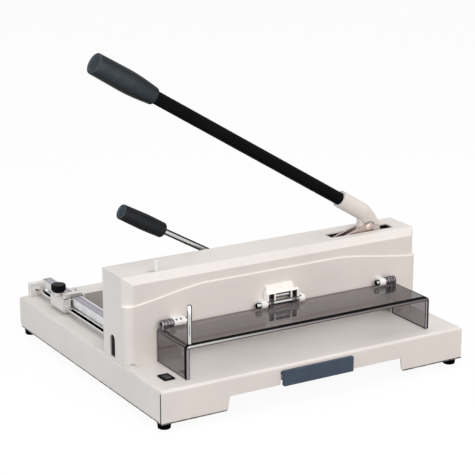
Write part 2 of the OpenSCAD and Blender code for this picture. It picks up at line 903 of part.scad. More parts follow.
module beam_bolts() {
    head_d = 13;
    head_h = 6;
    color(steel) for (x = beam_bolt_x, z = bolt_rows) {
        rod_along_y(beam_front, beam_back, x, z, beam_bolt_d);
        difference() {
            rod_along_y(beam_front - head_h, beam_front, x, z, head_d);
            translate([x, beam_front - head_h + 1.5, z]) rotate([90, 0, 0]) cylinder(d = 7, h = 4, $fn = 6);
        }
    }
}

module rear_beam() {
    color(dark_steel) difference() {
        block([inner_left + pillar_t, inner_right - right_pillar_t], [rear_beam_front, rear_beam_back],
            rear_beam_z);
        rod_along_y(rear_beam_front - past, rear_beam_back + past, clamp_pivot_x, clamp_pivot_z,
            clamp_bore_d);
    }
}

module pivot_bush() {
    color("darkgoldenrod") difference() {
        union() {
            rod_along_y(beam_front, beam_back, lever_x, lever_z, pivot_bush_d);
            rod_along_y(beam_back, carrier_front - slide_gap, lever_x, lever_z,
                pivot_bush_d + 2 * bush_flange);
        }
        rod_along_y(beam_front - past, carrier_front, lever_x, lever_z, shaft_d + 2 * run_fit);
    }
}

// Return spring: a coil round the lever's shaft with two straight legs
spring_d = 3;
spring_turns = 2.5;
spring_pitch = 3.7;
spring_r = shaft_d / 2 + 4.6;
spring_leg = 16;
spring_rings = 8;
spring_sides = 6;

function spring_point(turn) = [
    spring_r * sin(360 * turn), spring_pitch * turn, spring_r * cos(360 * turn)
];
spring_path = let (n = spring_turns * spring_rings) concat(
    [spring_point(0) - [spring_leg, 0, 0]],
    [for (i = [0:n]) spring_point(i / spring_rings)],
    [spring_point(spring_turns) + [-spring_leg, 0, 0]]
);
spring_gap = min([for (i = [1:len(spring_path) - 2 - spring_rings])
    norm(spring_path[i + spring_rings] - spring_path[i])]) - spring_d;
echo(spring_gap_mm = spring_gap);

// A round tube along a path, as one closed skin
module tube_along(path, d, sides) {
    n = len(path);
    function heading(i) = let (v = path[min(i + 1, n - 1)] - path[max(i - 1, 0)]) v / norm(v);
    rings = [for (i = [0:n - 1])
        let (t = heading(i), u = cross([0, 1, 0], t) / norm(cross([0, 1, 0], t)), v = cross(t, u))
        for (k = [0:sides - 1]) path[i] + d / 2 * (cos(360 * k / sides) * u + sin(360 * k / sides) * v)];
    skin = [for (i = [0:n - 2], k = [0:sides - 1]) let (a = i * sides + k, b = i * sides + (k + 1) % sides)
        each [[a, b, b + sides], [a, b + sides, a + sides]]];
    last = (n - 1) * sides;
    ends = [for (k = [1:sides - 2]) each [[0, k + 1, k], [last, last + k, last + k + 1]]];
    polyhedron(rings, [for (f = concat(skin, ends)) [f[0], f[2], f[1]]]);
}

module return_spring() {
    spring_front = beam_front - spring_d / 2 - 0.3 - spring_pitch * spring_turns;
    color(steel) translate([lever_x, spring_front, lever_z])
        tube_along(spring_path, spring_d, spring_sides);
}

module line_lamp() {
    half = throat_w / 2 - 20;
    color("ivory") block([-half, half], [beam_front + 1.5, beam_back - 1.5], [throat_z + 1.5, beam_z[0]]);
}

// Guard hinges on the housing

module hinge_barrel(x0, x1) {
    difference() {
        union() {
            rod_along_x(x0, x1, hinge_y, hinge_z, 2 * barrel_r);
            block([x0, x1], [hinge_y, panel_y], [hinge_z - barrel_r, hinge_z + barrel_r]);
        }
        rod_along_x(x0 - past, x1 + past, hinge_y, hinge_z, hinge_pin_d);
    }
}

hinge_gap = 0.5;
left_barrel_x = hinge_left + knuckle_l + hinge_gap;
right_barrel_x = hinge_right - knuckle_l - hinge_gap;
left_barrel = [left_barrel_x, left_barrel_x + barrel_l[0]];
right_barrel = [right_barrel_x - barrel_l[1], right_barrel_x];
pin_head_l = 6;
pin_head_d = hinge_pin_d + 2;

// Bracket at the middle of the hinge: a hood with three cells over a bare stretch of pin
hood_x = [-32, 26.5];
hood_cheek = 3;
hood_post = 3;
hood_post_x = [-18, 13];
hood_depth = 13;
hood_floor = hinge_z + hinge_pin_d / 2 + 0.8;
hood_cell_h = 11.5;
centre_barrel_l = 10.5;
centre_head_l = 8;
hood_gap = 0.6;

module hinge_barrels() {
    color(cream) {
        for (barrel = [left_barrel, right_barrel]) hinge_barrel(barrel[0], barrel[1]);
        hinge_barrel(hood_x[0] - hood_gap - centre_barrel_l, hood_x[0] - hood_gap);
        hinge_barrel(hood_x[1] + hood_gap, hood_x[1] + hood_gap + centre_barrel_l);
    }
}

module hinge_pins() {
    left = hood_x[0] - hood_gap - centre_barrel_l;
    right = hood_x[1] + hood_gap + centre_barrel_l;
    color(chrome) {
        rod_along_x(hinge_left + 1, left_barrel[1], hinge_y, hinge_z, hinge_pin_d);
        rod_along_x(left_barrel[1], left_barrel[1] + pin_head_l, hinge_y, hinge_z, pin_head_d);
        rod_along_x(right_barrel[0], hinge_right - 1, hinge_y, hinge_z, hinge_pin_d);
        rod_along_x(right_barrel[0] - pin_head_l, right_barrel[0], hinge_y, hinge_z, pin_head_d);
        rod_along_x(left, right, hinge_y, hinge_z, hinge_pin_d);
        rod_along_x(left - centre_head_l, left, hinge_y, hinge_z, pin_head_d);
    }
}

module centre_hood() {
    front = panel_y - hood_depth;
    shelf = hood_floor + hood_cell_h;
    cells = [
        [hood_x[0] + hood_cheek, hood_post_x[0] - hood_post / 2],
        [hood_post_x[0] + hood_post / 2, hood_post_x[1] - hood_post / 2],
        [hood_post_x[1] + hood_post / 2, hood_x[1] - hood_cheek]
    ];
    color(cream) difference() {
        union() {
            along_x(hood_x[0], hood_x[1]) polygon([
                [panel_y, hood_floor], [front, hood_floor], [front, shelf + 1.5], [front + 3, shelf + 4],
                [panel_y, shelf + 4]
            ]);
            along_x(hood_x[0] + 1.5, hood_x[1] - 7) polygon([
                [panel_y, shelf + 3], [front + 3, shelf + 3], [panel_y - 5, shelf + 12], [panel_y, shelf + 13]
            ]);
        }
        for (cell = cells) block(cell, [front - past, panel_y - 2.5], [hood_floor - past, shelf]);
    }
}

module hood_roller() {
    gap = hood_post / 2 + 0.2;
    d = 7;
    color(dark_steel) rod_along_x(hood_post_x[0] + gap, hood_post_x[1] - gap, panel_y - 6.5,
        hood_floor + 6, d);
}

// Lever, modelled level and pointing left, then raised about its pivot

module at_lever() {
    translate([lever_x, cut_y, lever_z]) rotate([0, lever_raise, 0]) children();
}

// The bracket is flat where the straps lie beside it and swells into a round socket above them
module lever_bracket() {
    neck_t = 17;
    neck_right = [-18, tube_offset - 6];
    neck_left = [-50, tube_offset - 15];
    shoulder = [-20.3, tube_offset - 3.5];
    brow = [-45, tube_offset + 8.7];
    elbow = [-54.9, tube_offset - 21.2];
    eye_room = eye_r + 1.5;
    cheek = carrier_t / 2 + 0.01;
    color(cream) at_lever() difference() {
        union() {
            along_y(-carrier_t / 2, carrier_t / 2) {
                circle(boss_r);
                polygon([
                    [boss_r - 0.5, 4], [-10.7, tube_offset - 12.7], shoulder, brow,
                    [-socket_near, tube_offset + 9], [-socket_near - 6, tube_offset - 9], elbow,
                    [-boss_r + 0.5, -4]
                ]);
            }
            rod_along_x(-socket_far, -socket_near - 3, 0, tube_offset, socket_d);
            hull() {
                rod_along_x(-socket_near - 4, -socket_near - 3, 0, tube_offset, socket_d, $fn = hull_fn);
                along_y(-neck_t / 2, neck_t / 2) polygon([neck_right, shoulder, brow, neck_left]);
            }
        }
        rod_along_x(-socket_far - past, -socket_near - 8, 0, tube_offset, tube_d);
        rod_along_y(-carrier_t, carrier_t, 0, 0, shaft_d);
        rod_along_y(-carrier_t, carrier_t, bolt_at[0], bolt_at[1], strap_pin_d);
        rod_along_y(cheek, socket_d, bolt_at[0], bolt_at[1], 2 * eye_room);
        rod_along_y(-socket_d, -cheek, bolt_at[0], bolt_at[1], 2 * eye_room);
    }
}

module lever_tube() {
    far = -grip_start - grip_l + grip_end;
    color(black) at_lever() difference() {
        rod_along_x(far, -socket_near - 8, 0, tube_offset, tube_d);
        rod_along_x(far - past, -socket_near - 14, 0, tube_offset, tube_d - 2 * tube_wall);
    }
}

// Length of the solid end of a grip, beyond the bar in it
grip_end = 14;

// How much slimmer a grip is at its far end, width of that end's rim and depth of the dish inside it
grip_slim = 2;
grip_rim = 4;
grip_dish = 1;

// Turned outline of a soft grip on a bar: swells from a round near end to its middle, slims again and
// ends in a flat rim round a shallow dish
module grip_outline(l, near_d, wide_d, bore_d, bore_l) {
    steps = 8;
    near_r = 2.4;
    end_r = 1.5;
    end_d = wide_d - grip_slim;
    swell = [for (i = [1:steps]) let (t = i / steps)
        [near_d / 2 + (wide_d - near_d) / 2 * sin(90 * t), near_r + (l / 2 - near_r) * t]];
    polygon(concat(
        [[bore_d / 2, 0]],
        arc([near_d / 2 - near_r, near_r], near_r, -90, 0, 4),
        swell,
        arc([end_d / 2 - end_r, l - end_r], end_r, 0, 90, 4),
        [[end_d / 2 - grip_rim, l], [end_d / 2 - grip_rim - grip_dish, l - grip_dish], [0, l - grip_dish]],
        [[0, bore_l], [bore_d / 2, bore_l]]
    ));
}

module lever_grip() {
    color(black) at_lever() translate([-grip_start, 0, tube_offset]) rotate([0, -90, 0])
        rotate_extrude() grip_outline(grip_l, grip_near_d, grip_wide_d, tube_d, grip_l - grip_end);
}

module lever_shaft() {
    collar_l = 2;
    front = cover_y + cover_t + 1;
    color(steel) {
        rod_along_y(front, carrier_back, lever_x, lever_z, shaft_d);
        rod_along_y(front, front + collar_l, lever_x, lever_z, shaft_d + 8);
    }
}

module link_bolt() {
    head_h = strap_room - 0.4;
    head_r = strap_pin_d / 2 + 2;
    r = strap_pin_d / 2;
    l = strap_back - strap_front + 0.6;
    color(chrome) translate([bolt_x, strap_front, bolt_z]) rotate([-90, 0, 0]) rotate_extrude() polygon([
        [0, -head_h], [r, -head_h], [head_r, -0.3], [head_r, -0.1], [r, -0.1], [r, l], [0, l]
    ]);
}

module link_straps() {
    bolt = [bolt_x, bolt_z];
    pin = [strap_pin_x, strap_pin_z];
    color(steel) for (y = [strap_front, strap_back - strap_t]) along_y(y, y + strap_t) difference() {
        union() {
            slot(bolt, pin, strap_w);
            translate(bolt) circle(eye_r);
            translate(pin) circle(pin_eye_r);
        }
        translate(bolt) circle(d = strap_pin_d + 2 * run_fit);
        translate(pin) circle(d = strap_pin_d + 2 * strap_play);
    }
}

// Blade and its carrier

blade_screw_count = 5;
blade_screw_d = 6;
blade_screw_z = carrier_top - carrier_h + 12;

function blade_screw_x(i) = carrier_left + 30 + (carrier_l - 60) * i / (blade_screw_count - 1);

module blade_screw_holes() {
    for (i = [0:blade_screw_count - 1]) translate([blade_screw_x(i), blade_screw_z])
        circle(d = blade_screw_d);
}

module blade_carrier() {
    bottom = carrier_top - carrier_h;
    corner = 14;
    color(steel) along_y(carrier_front, carrier_back) difference() {
        polygon([
            [carrier_left, bottom], [carrier_right, bottom], [carrier_right, bottom + 22],
            [strap_pin_x + 16, carrier_top], [carrier_left + corner, carrier_top],
            [carrier_left, carrier_top - corner]
        ]);
        translate([strap_pin_x, strap_pin_z]) circle(d = strap_pin_d);
        for (x = roller_x) translate([x, roller_z]) circle(d = roller_d - 8);
        blade_screw_holes();
    }
}

module blade() {
    color(chrome) difference() {
        along_x(blade_left, blade_right) polygon([
            [carrier_back, blade_z + blade_h], [blade_back, blade_z + blade_h], [blade_back, blade_z],
            [carrier_back, blade_z + bevel_h]
        ]);
        along_y(carrier_back - past, blade_back + past) blade_screw_holes();
    }
}

module blade_screws() {
    head_d = 11;
    head_h = 3;
    color(dark_steel) for (i = [0:blade_screw_count - 1]) {
        rod_along_y(carrier_front, blade_back, blade_screw_x(i), blade_screw_z, blade_screw_d);
        difference() {
            rod_along_y(carrier_front - head_h, carrier_front, blade_screw_x(i), blade_screw_z, head_d);
            translate([blade_screw_x(i), carrier_front - head_h + 1.5, blade_screw_z]) rotate([90, 0, 0])
                cylinder(d = 5.5, h = 3, $fn = 6);
        }
    }
}

module guide_rollers() {
    stud_d = roller_d - 8;
    color(steel) for (x = roller_x) {
        rod_along_y(beam_front, carrier_back, x, roller_z, stud_d);
        rod_along_y(carrier_front - 2, carrier_front, x, roller_z, roller_d - 3);
        rod_along_y(beam_front, beam_back, x, roller_z, roller_d);
    }
}

module carrier_pin() {
    color(steel) rod_along_y(strap_front - 0.6, strap_back + 0.4, strap_pin_x, strap_pin_z, strap_pin_d);
}

// Clamp lever, modelled level and pointing left, then raised about its pivot

module at_clamp_lever(raise) {
    translate([clamp_pivot_x, 0, clamp_pivot_z]) rotate([0, raise, 0]) children();
}

hub_d = 30;
hub_l = 18;
// Length and wall of the socket that holds the clamp lever's rod
hub_nose = 14;
hub_wall = 3;

module clamp_shaft() {
    color(steel) rod_along_y(rear_beam_front, clamp_lever_y + hub_l / 2, clamp_pivot_x, clamp_pivot_z,
        clamp_shaft_d);
}

module clamp_crank() {
    root_r = clamp_shaft_d / 2 + 6;
    tip_r = crank_pin_d / 2 + 4;
    color(dark_steel) at_clamp_lever(crank_raise) {
        along_y(crank_front, crank_back) difference() {
            union() {
                circle(root_r);
                translate([-crank_l, 0]) circle(tip_r);
                polygon([
                    [0, root_r - 1], [-crank_l, tip_r - 0.5], [-crank_l, 0.5 - tip_r], [0, 1 - root_r]
                ]);
            }
            circle(d = clamp_shaft_d);
        }
        rod_along_y(yoke_front + 0.2, crank_front, -crank_l, 0, crank_pin_d);
    }
}

module clamp_hub() {
    color(cream) at_clamp_lever(clamp_raise) difference() {
        union() {
            rod_along_y(clamp_lever_y - hub_l / 2, clamp_lever_y + hub_l / 2, 0, 0, hub_d);
            rod_along_x(-hub_d / 2 - hub_nose, 0, clamp_lever_y, 0, clamp_rod_d + 2 * hub_wall);
        }
        rod_along_y(clamp_lever_y - hub_l, clamp_lever_y + hub_l / 2, 0, 0, clamp_shaft_d);
        rod_along_x(-hub_d / 2 - hub_nose - past, -clamp_shaft_d / 2 - hub_wall, clamp_lever_y, 0,
            clamp_rod_d);
    }
}

module clamp_rod() {
    far = -clamp_grip_start - clamp_grip_l + grip_end;
    near = -clamp_shaft_d / 2 - hub_wall;
    color(chrome) at_clamp_lever(clamp_raise) rod_along_x(far, near, clamp_lever_y, 0, clamp_rod_d);
}

module clamp_grip() {
    near_d = clamp_grip_d - 2;
    bore_l = clamp_grip_l - grip_end;
    color(black) at_clamp_lever(clamp_raise) translate([-clamp_grip_start, clamp_lever_y, 0])
        rotate([0, -90, 0]) rotate_extrude()
            grip_outline(clamp_grip_l, near_d, clamp_grip_d, clamp_rod_d, bore_l);
}

module clamp_bush() {
    color("darkgoldenrod") difference() {
        union() {
            rod_along_y(back_y - rear_t, back_y, clamp_pivot_x, clamp_pivot_z, clamp_bush_d);
            rod_along_y(back_y, back_y + 2, clamp_pivot_x, clamp_pivot_z, clamp_bush_d + 2 * bush_flange);
        }
        rod_along_y(back_y - rear_t - past, back_y + 3, clamp_pivot_x, clamp_pivot_z, clamp_bore_d);
    }
}

module clamp_bar() {
    half = throat_w / 2 - 2;
    color(dark_steel) block([-half, half], [clamp_front, clamp_front + clamp_d],
        [clamp_z + clamp_pad_t, clamp_top]);
}

module clamp_pad() {
    half = throat_w / 2 - 2;
    color([0.2, 0.2, 0.21]) block([-half, half], [clamp_front, clamp_front + clamp_d],
        [clamp_z, clamp_z + clamp_pad_t]);
}

module clamp_yoke() {
    margin = 9;
    pin_reach = crank_l - crank_l * cos(crank_raise);
    slot_h = crank_pin_d + 1.2;
    left = crank_pin_x - pin_reach - crank_pin_d / 2 - margin;
    right = crank_pin_x + crank_pin_d / 2 + margin;
    top = crank_pin_z + slot_h / 2 + margin;
    color(steel) along_y(yoke_front, yoke_back) difference() {
        translate([left, clamp_top]) square([right - left, top - clamp_top]);
        slot([crank_pin_x - pin_reach, crank_pin_z], [crank_pin_x, crank_pin_z], slot_h);
    }
}

module clamp_guide_rods() {
    color(chrome) for (side = [-1, 1])
        rod_along_z(clamp_top, inner_top - 5, side * clamp_guide_x, clamp_guide_y, clamp_guide_d);
}

module clamp_guides() {
    half = clamp_guide_d / 2 + 7;
    wall = 3;
    guide_l = 30;
    z0 = clamp_top + 6;
    z1 = z0 + guide_l;
    color(dark_steel) for (side = [-1, 1]) translate([side * clamp_guide_x, 0, 0]) difference() {
        block([-half, half], [rear_beam_back, clamp_guide_y + clamp_guide_d / 2 + wall], [z0, z1]);
        rod_along_z(z0 - past, z1 + past, 0, clamp_guide_y, clamp_guide_d + 2 * run_fit);
    }
}

// Guard

module guard_sheet() {
    floor_z = table_z + table_gap;
    h = guard_top - floor_z;
    color(smoke) translate([0, 0, floor_z]) along_y(guard_front_y, guard_back_y) difference() {
        round_topped(guard_w, h, guard_bend_r);
        translate([0, -past]) round_topped(guard_w - 2 * guard_t, h - guard_t + past, guard_bend_r - guard_t);
    }
}

module guard_knuckle(x0, x1, r) {
    difference() {
        union() {
            rod_along_x(x0, x1, hinge_y, hinge_z, 2 * r);
            block([x0, x1], [hinge_y - r + 1, hinge_y + min(r - 1, 5)], [guard_top, hinge_z]);
        }
        rod_along_x(x0 - past, x1 + past, hinge_y, hinge_z, hinge_pin_d + 2 * run_fit);
        block([x0 - past, x1 + past], [hinge_y - r, hinge_y + r], [guard_top - r, guard_top]);
    }
}

module ribbed_knuckle(x0, x1) {
    ribs = 4;
    pitch = (x1 - x0) / ribs;
    guard_knuckle(x0, x1, knuckle_r - 1.4);
    for (i = [0:ribs - 1]) guard_knuckle(x0 + pitch * (i + 0.2), x0 + pitch * (i + 0.8), knuckle_r);
}

module guard_knuckles() {
    centre_r = hinge_pin_d / 2 + 2;
    inset = hood_cheek + 1;
    color(smoke) {
        ribbed_knuckle(hinge_left, hinge_left + knuckle_l);
        ribbed_knuckle(hinge_right - knuckle_l, hinge_right);
        guard_knuckle(hood_x[0] + inset, hood_post_x[0] - hood_post, centre_r);
        guard_knuckle(hood_post_x[1] + hood_post, hood_x[1] - inset, centre_r);
    }
}

module guard_rod() {
    x = -guard_w / 2 + guard_rod_inset;
    y = guard_front_y + guard_rod_setback;
    r = guard_rod_d / 2;
    color(chrome) translate([x, y, guard_top]) rotate_extrude() polygon([
        [0, 0], [r, 0], [r, guard_rod_l - 2], [r - 0.8, guard_rod_l - 0.6], [r - 2, guard_rod_l],
        [0, guard_rod_l]
    ]);
}

// Back gauge

module gauge_rod() {
    color(chrome) rod_along_y(back_y - rear_t - rod_seat, bracket_front + bracket_seat, rod_x, rod_z,
        gauge_rod_d);
}

module gauge_bracket() {
    left = rod_x - bracket_reach;
    corner = 1.5;
    color(cream) difference() {
        translate([left, 0, table_z]) along_y(bracket_front, bracket_front + bracket_t)
            round_topped_from(ruler_left - left, ruler_h - bracket_drop, corner);
        rod_along_y(bracket_front - past, bracket_front + bracket_seat, rod_x, rod_z, gauge_rod_d);
    }
}

// As round_topped, from its lower left corner
module round_topped_from(w, h, r) {
    translate([w / 2, 0]) round_topped(w, h, r);
}

module side_ruler() {
    web_left = ruler_left + ruler_step;
    face_z = table_z + ruler_h - ruler_flange;
    color([0.80, 0.80, 0.84]) along_y(back_y + 2, bracket_front + bracket_t) polygon([
        [ruler_left, table_z + ruler_h], [ruler_left, face_z], [web_left, face_z], [web_left, table_z],
        [ruler_right, table_z], [ruler_right, table_z + ruler_h]
    ]);
}

module gauge_carriage() {
    x0 = carriage_left;
    x1 = carriage_left + carriage_w;
    z0 = table_z + 4.5;
    z1 = table_z + carriage_h;
    middle = (x0 + x1) / 2;
    slit_y = [face_y + 4, face_y + 6.4];
    color(cream) difference() {
        union() {
            along_y(face_y, face_y + carriage_l) polygon([
                [x0 + 1.5, z0], [x1, z0], [x1, z1], [x0 + 1, z1], [x0, z1 - 1.5], [x0, z0 + 2]
            ]);
            block([x1 - 8, x1], shoulder_y, [z1 - past, table_z + gauge_beam_h]);
            rod_along_z(z1, knob_z, middle, knob_y, 15);
            rod_along_y(face_y - 1.6, face_y, rod_x, rod_z, gauge_rod_d + 3);
        }
        block([x0 + 4, x1 - 1.5], slit_y, [z1 - 1.2, z1 + past]);
        rod_along_y(face_y - 2 - past, face_y + carriage_l + past, rod_x, rod_z, gauge_rod_d + 2 * run_fit);
        rod_along_z(knob_z - 9, knob_z + past, middle, knob_y, 6 + 2 * run_fit);
    }
}

module gauge_beam() {
    x0 = ruler_right + 1;
    bar_z = [table_z + table_gap, table_z + gauge_beam_h];
    bridge_z = table_z + ruler_h + 0.6;
    wall = 4;
    color(pale) {
        along_x(x0, throat_w / 2 - 7) difference() {
            translate([face_y, bar_z[0]]) square([gauge_beam_d, bar_z[1] - bar_z[0]]);
            translate([face_y + wall, bar_z[0] - past])
                square([gauge_beam_d - 2 * wall, bar_z[1] - bar_z[0] - wall + past]);
        }
        block([carriage_left + carriage_w, x0 + past], shoulder_y, [bridge_z, bar_z[1]]);
    }
}

module gauge_knob() {
    flutes = 18;
    x = carriage_left + carriage_w / 2;
    color(black) translate([x, knob_y, knob_z + 0.4]) {
        difference() {
            rotate_extrude() polygon([
                [0, 0], [knob_d / 2 - 3, 0], [knob_d / 2 - 3, 2], [knob_d / 2 - 0.6, 2.6], [knob_d / 2, 3.4],
                [knob_d / 2, knob_h - 1.2], [knob_d / 2 - 1.2, knob_h], [0, knob_h]
            ]);
            for (i = [0:flutes - 1]) rotate(360 / flutes * i) translate([knob_d / 2 + 0.5, 0, 2])
                cylinder(d = 2.4, h = knob_h);
        }
        translate([0, 0, -8]) cylinder(d = 6, h = 8.5);
    }
}

// Lock on the cover

module lock_slider() {
    r = lock_pin_d / 2;
    top = cover_t + 17;
    color("whitesmoke") {
        translate([lock_x, lock_y, inner_top - 0.3]) rotate_extrude() polygon([
            [0, 0], [r, 0], [r, top - 1.6], [r - 1, top], [0, top]
        ]);
        block([lock_x - 9, lock_x + 9], [lock_y - 4.5, lock_y + 6], [inner_top - 2.3, inner_top - 0.3]);
    }
}

module lock_guide() {
    half_l = lock_travel + 14;
    x = lock_x - lock_travel / 2;
    under = inner_top - 2.3 - 0.3;
    color(steel) difference() {
        block([x - half_l, x + half_l], [lock_y - 6.4, lock_y + 9], [under - 1.5, inner_top]);
        block([x - half_l + 4, x + half_l - 4], [lock_y - 4.9, lock_y + 6.5], [under, inner_top + past]);
    }
}

// Every node in its place

in_frame() base_shell();
in_frame() rubber_feet();
in_frame() cutting_stick();
in_frame() stick_channel();
in_frame() left_pillar();
in_frame() right_pillar();
in_frame() front_beam();
in_frame() rear_beam();
in_frame() beam_bolts();
in_frame() pivot_bush();
in_frame() return_spring();
in_frame() top_cover();
in_frame() lower_panel();
in_frame() rear_panel();
in_frame() housing_screws();
in_frame() hinge_barrels();
in_frame() hinge_pins();
in_frame() centre_hood();
in_frame() hood_roller();
in_frame() gauge_rod();
in_frame() gauge_bracket();
in_frame() side_ruler();
in_frame() clamp_guides();
in_frame() clamp_bush();
in_frame() line_lamp();
in_frame() switch_bezel();
in_frame() drawer_runners();
in_frame() lock_guide();
in_frame() lever_bracket();
in_frame() lever_tube();
in_frame() lever_grip();
in_frame() lever_shaft();
in_frame() link_bolt();
in_frame() link_straps();
in_frame() blade_carrier();
in_frame() blade();
in_frame() blade_screws();
in_frame() guide_rollers();
in_frame() carrier_pin();
in_frame() clamp_shaft();
in_frame() clamp_crank();
in_frame() clamp_hub();
in_frame() clamp_rod();
in_frame() clamp_grip();
in_frame() clamp_bar();
in_frame() clamp_pad();
in_frame() clamp_yoke();
in_frame() clamp_guide_rods();
in_frame() guard_sheet();
in_frame() guard_knuckles();
in_frame() guard_rod();
in_frame() gauge_carriage();
in_frame() gauge_beam();
in_frame() gauge_knob();
in_frame() drawer_tray();
in_frame() drawer_front();
in_frame() switch_rocker();
in_frame() lock_slider();
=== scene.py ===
"""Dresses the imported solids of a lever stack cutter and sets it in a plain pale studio."""

import json
import math

import bmesh
import bpy
from bpy.props import FloatProperty, FloatVectorProperty, IntProperty, PointerProperty
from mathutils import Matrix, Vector


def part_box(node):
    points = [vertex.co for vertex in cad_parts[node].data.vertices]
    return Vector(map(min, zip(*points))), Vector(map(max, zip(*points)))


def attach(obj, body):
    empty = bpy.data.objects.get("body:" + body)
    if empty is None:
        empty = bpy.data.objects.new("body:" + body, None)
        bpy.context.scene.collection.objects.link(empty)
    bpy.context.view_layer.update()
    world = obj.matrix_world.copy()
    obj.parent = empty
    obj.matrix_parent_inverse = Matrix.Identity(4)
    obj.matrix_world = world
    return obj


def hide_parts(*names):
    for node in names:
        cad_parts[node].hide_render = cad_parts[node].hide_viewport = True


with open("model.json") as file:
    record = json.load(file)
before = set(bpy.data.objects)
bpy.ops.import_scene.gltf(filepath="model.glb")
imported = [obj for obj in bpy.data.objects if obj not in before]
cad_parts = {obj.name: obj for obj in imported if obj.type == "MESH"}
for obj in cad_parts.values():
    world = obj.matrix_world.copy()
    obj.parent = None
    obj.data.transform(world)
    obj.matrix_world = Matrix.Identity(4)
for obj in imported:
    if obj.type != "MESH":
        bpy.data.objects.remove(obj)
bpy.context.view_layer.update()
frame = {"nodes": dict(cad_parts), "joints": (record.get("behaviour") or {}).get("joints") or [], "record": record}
NODE_SLOT = {row["node"]: row["material_slot"] for row in frame["record"]["subparts"]}
NODE_BODY = {node: body for body, nodes in frame["record"]["behaviour"]["bodies"].items() for node in nodes}
JOINT = {joint["name"]: joint for joint in frame["joints"]}

# Joining of the solids' triangles, in metres and as an angle, and the rounding of their edges
MERGE_DISTANCE = 4e-6
FLAT_ANGLE = math.radians(0.4)
EDGE_ANGLE = math.radians(30.0)
EDGE_SEGMENTS = 2

# Least part of a face's normal along an axis, for a face that leans that way and for one square to it
LEANING = 0.3
SQUARE_ON = 0.9

bl_info = {
    "name": "Lever stack cutter",
    "version": (1, 0, 0),
    "blender": (4, 5, 0),
    "location": "View3D > Sidebar > Cutter",
    "description": "Finishes, small details and a studio for a lever stack cutter",
    "category": "Object",
}


def tint(name, description, colour):
    """A colour that a user may change."""
    return FloatVectorProperty(name=name, description=description, subtype="COLOR", size=3, min=0.0, max=1.0,
                               default=colour)


def length(name, description, metres):
    """A size in metres that a user may change."""
    return FloatProperty(name=name, description=description, subtype="DISTANCE", unit="LENGTH",
                         default=metres, min=0.0, precision=5)


def power(name, description, watts):
    """A lamp's power that a user may change."""
    return FloatProperty(name=name, description=description, subtype="POWER", default=watts, min=0.0)


def turn(name, description, degrees):
    """An angle that a user may change."""
    return FloatProperty(name=name, description=description, subtype="ANGLE", default=math.radians(degrees))


class CutterFinishes(bpy.types.PropertyGroup):
    """Colours of the cutter's finishes."""

    cream: tint("Cream paint", "Powder coat of the base, housing and bracket", (0.72, 0.685, 0.655))
    cream_plastic: tint("Cream moulding", "Moulded pieces of the hinge and the gauge", (0.88, 0.845, 0.815))
    slate: tint("Slate moulding", "Front plate of the drawer", (0.046, 0.066, 0.100))
    smoke: tint("Smoked sheet", "Clear tinted sheet of the guard", (0.25, 0.23, 0.245))
    black_paint: tint("Black enamel", "Enamel of the lever's tube", (0.003, 0.003, 0.0033))
    black_rubber: tint("Black rubber", "Clamp grip and feet", (0.020, 0.023, 0.027))
    grip_rubber: tint("Grip rubber", "Blue-black rubber of the main lever's grip", (0.052, 0.066, 0.078))
    black_plastic: tint("Black moulding", "Switch and knob", (0.007, 0.007, 0.008))
    chrome: tint("Bright chrome", "Plated rods and pins", (0.80, 0.80, 0.80))
    steel: tint("Bare steel", "Screws, pins and runners", (0.50, 0.50, 0.51))
    warm_steel: tint("Warm steel", "Straps beside the lever's bracket, and their bolt", (0.52, 0.43, 0.39))
    bronze: tint("Bearing bronze", "Bushes and rollers", (0.58, 0.40, 0.18))
    anodised: tint("Anodised aluminium", "Ruler", (0.80, 0.80, 0.80))
    iron: tint("Frame iron", "Beams and pillars in the housing", (0.10, 0.105, 0.11))
    scale: tint("Scale print", "Printed strip along the top of the ruler", (0.28, 0.26, 0.32))
    cut_edge: tint("Cut acrylic", "Sawn edges of the guard where they catch the light", (0.72, 0.76, 0.75))
    white: tint("White nylon", "Lock peg and lamp", (0.82, 0.82, 0.80))
    stick: tint("Cutting stick", "Plastic stick under the blade", (0.36, 0.15, 0.13))


class CutterDetails(bpy.types.PropertyGroup):
    """Sizes of the small details."""

    fold: length("Sheet edge", "Rounding along the edges of painted sheet", 0.0008)
    moulding: length("Moulded edge", "Rounding along the edges of moulded pieces", 0.0006)
    machined: length("Machined edge", "Rounding along the edges of machined pieces", 0.0003)
    polish: length("Polished edge", "Rounding along the edges of the guard's sheet", 0.0009)
    edge_depth: length("Edge depth", "How far the guard's front edge shows through its faces", 0.0055)
    mark_pitch: length("Mark pitch", "Distance between the ruler's marks", 0.005)
    mark_width: length("Mark width", "Width of one mark on the ruler", 0.0008)
    mark_short: length("Short mark", "Length of a short mark on the ruler", 0.005)
    mark_long: length("Long mark", "Length of every second mark on the ruler", 0.0095)
    screw_d: length("Set screw", "Diameter of the set screws in the hinge barrels", 0.0036)
    wire_d: length("Spring wire", "Diameter of the return spring's wire", 0.003)
    wire_sides: IntProperty(name="Wire sides", description="Faces round the spring's wire", default=12,
                            min=6, max=32)


class CutterStudio(bpy.types.PropertyGroup):
    """Camera and light."""

    target: FloatVectorProperty(name="Camera target", description="Point that the camera looks at",
                                subtype="TRANSLATION", unit="LENGTH", size=3, default=(0.01986, 0.0, 0.19444))
    azimuth: turn("Camera turn", "Turn of the camera to the left of the front", 30.74)
    elevation: turn("Camera rise", "Rise of the camera above level", 16.69)
    distance: length("Camera distance", "Distance from the camera to its target", 2.8551)
    lens: FloatProperty(name="Lens", description="Focal length on a 36 mm sensor", default=129.95, min=20.0)
    key: power("Key lamp", "Power of the large warm lamp in front", 45.0)
    side: power("Side lamp", "Power of the cool lamp at the left", 37.0)
    top: power("Top lamp", "Power of the lamp overhead", 23.0)
    sky: FloatProperty(name="Room light", description="Strength of the light from all round", default=0.45)


# Nodes


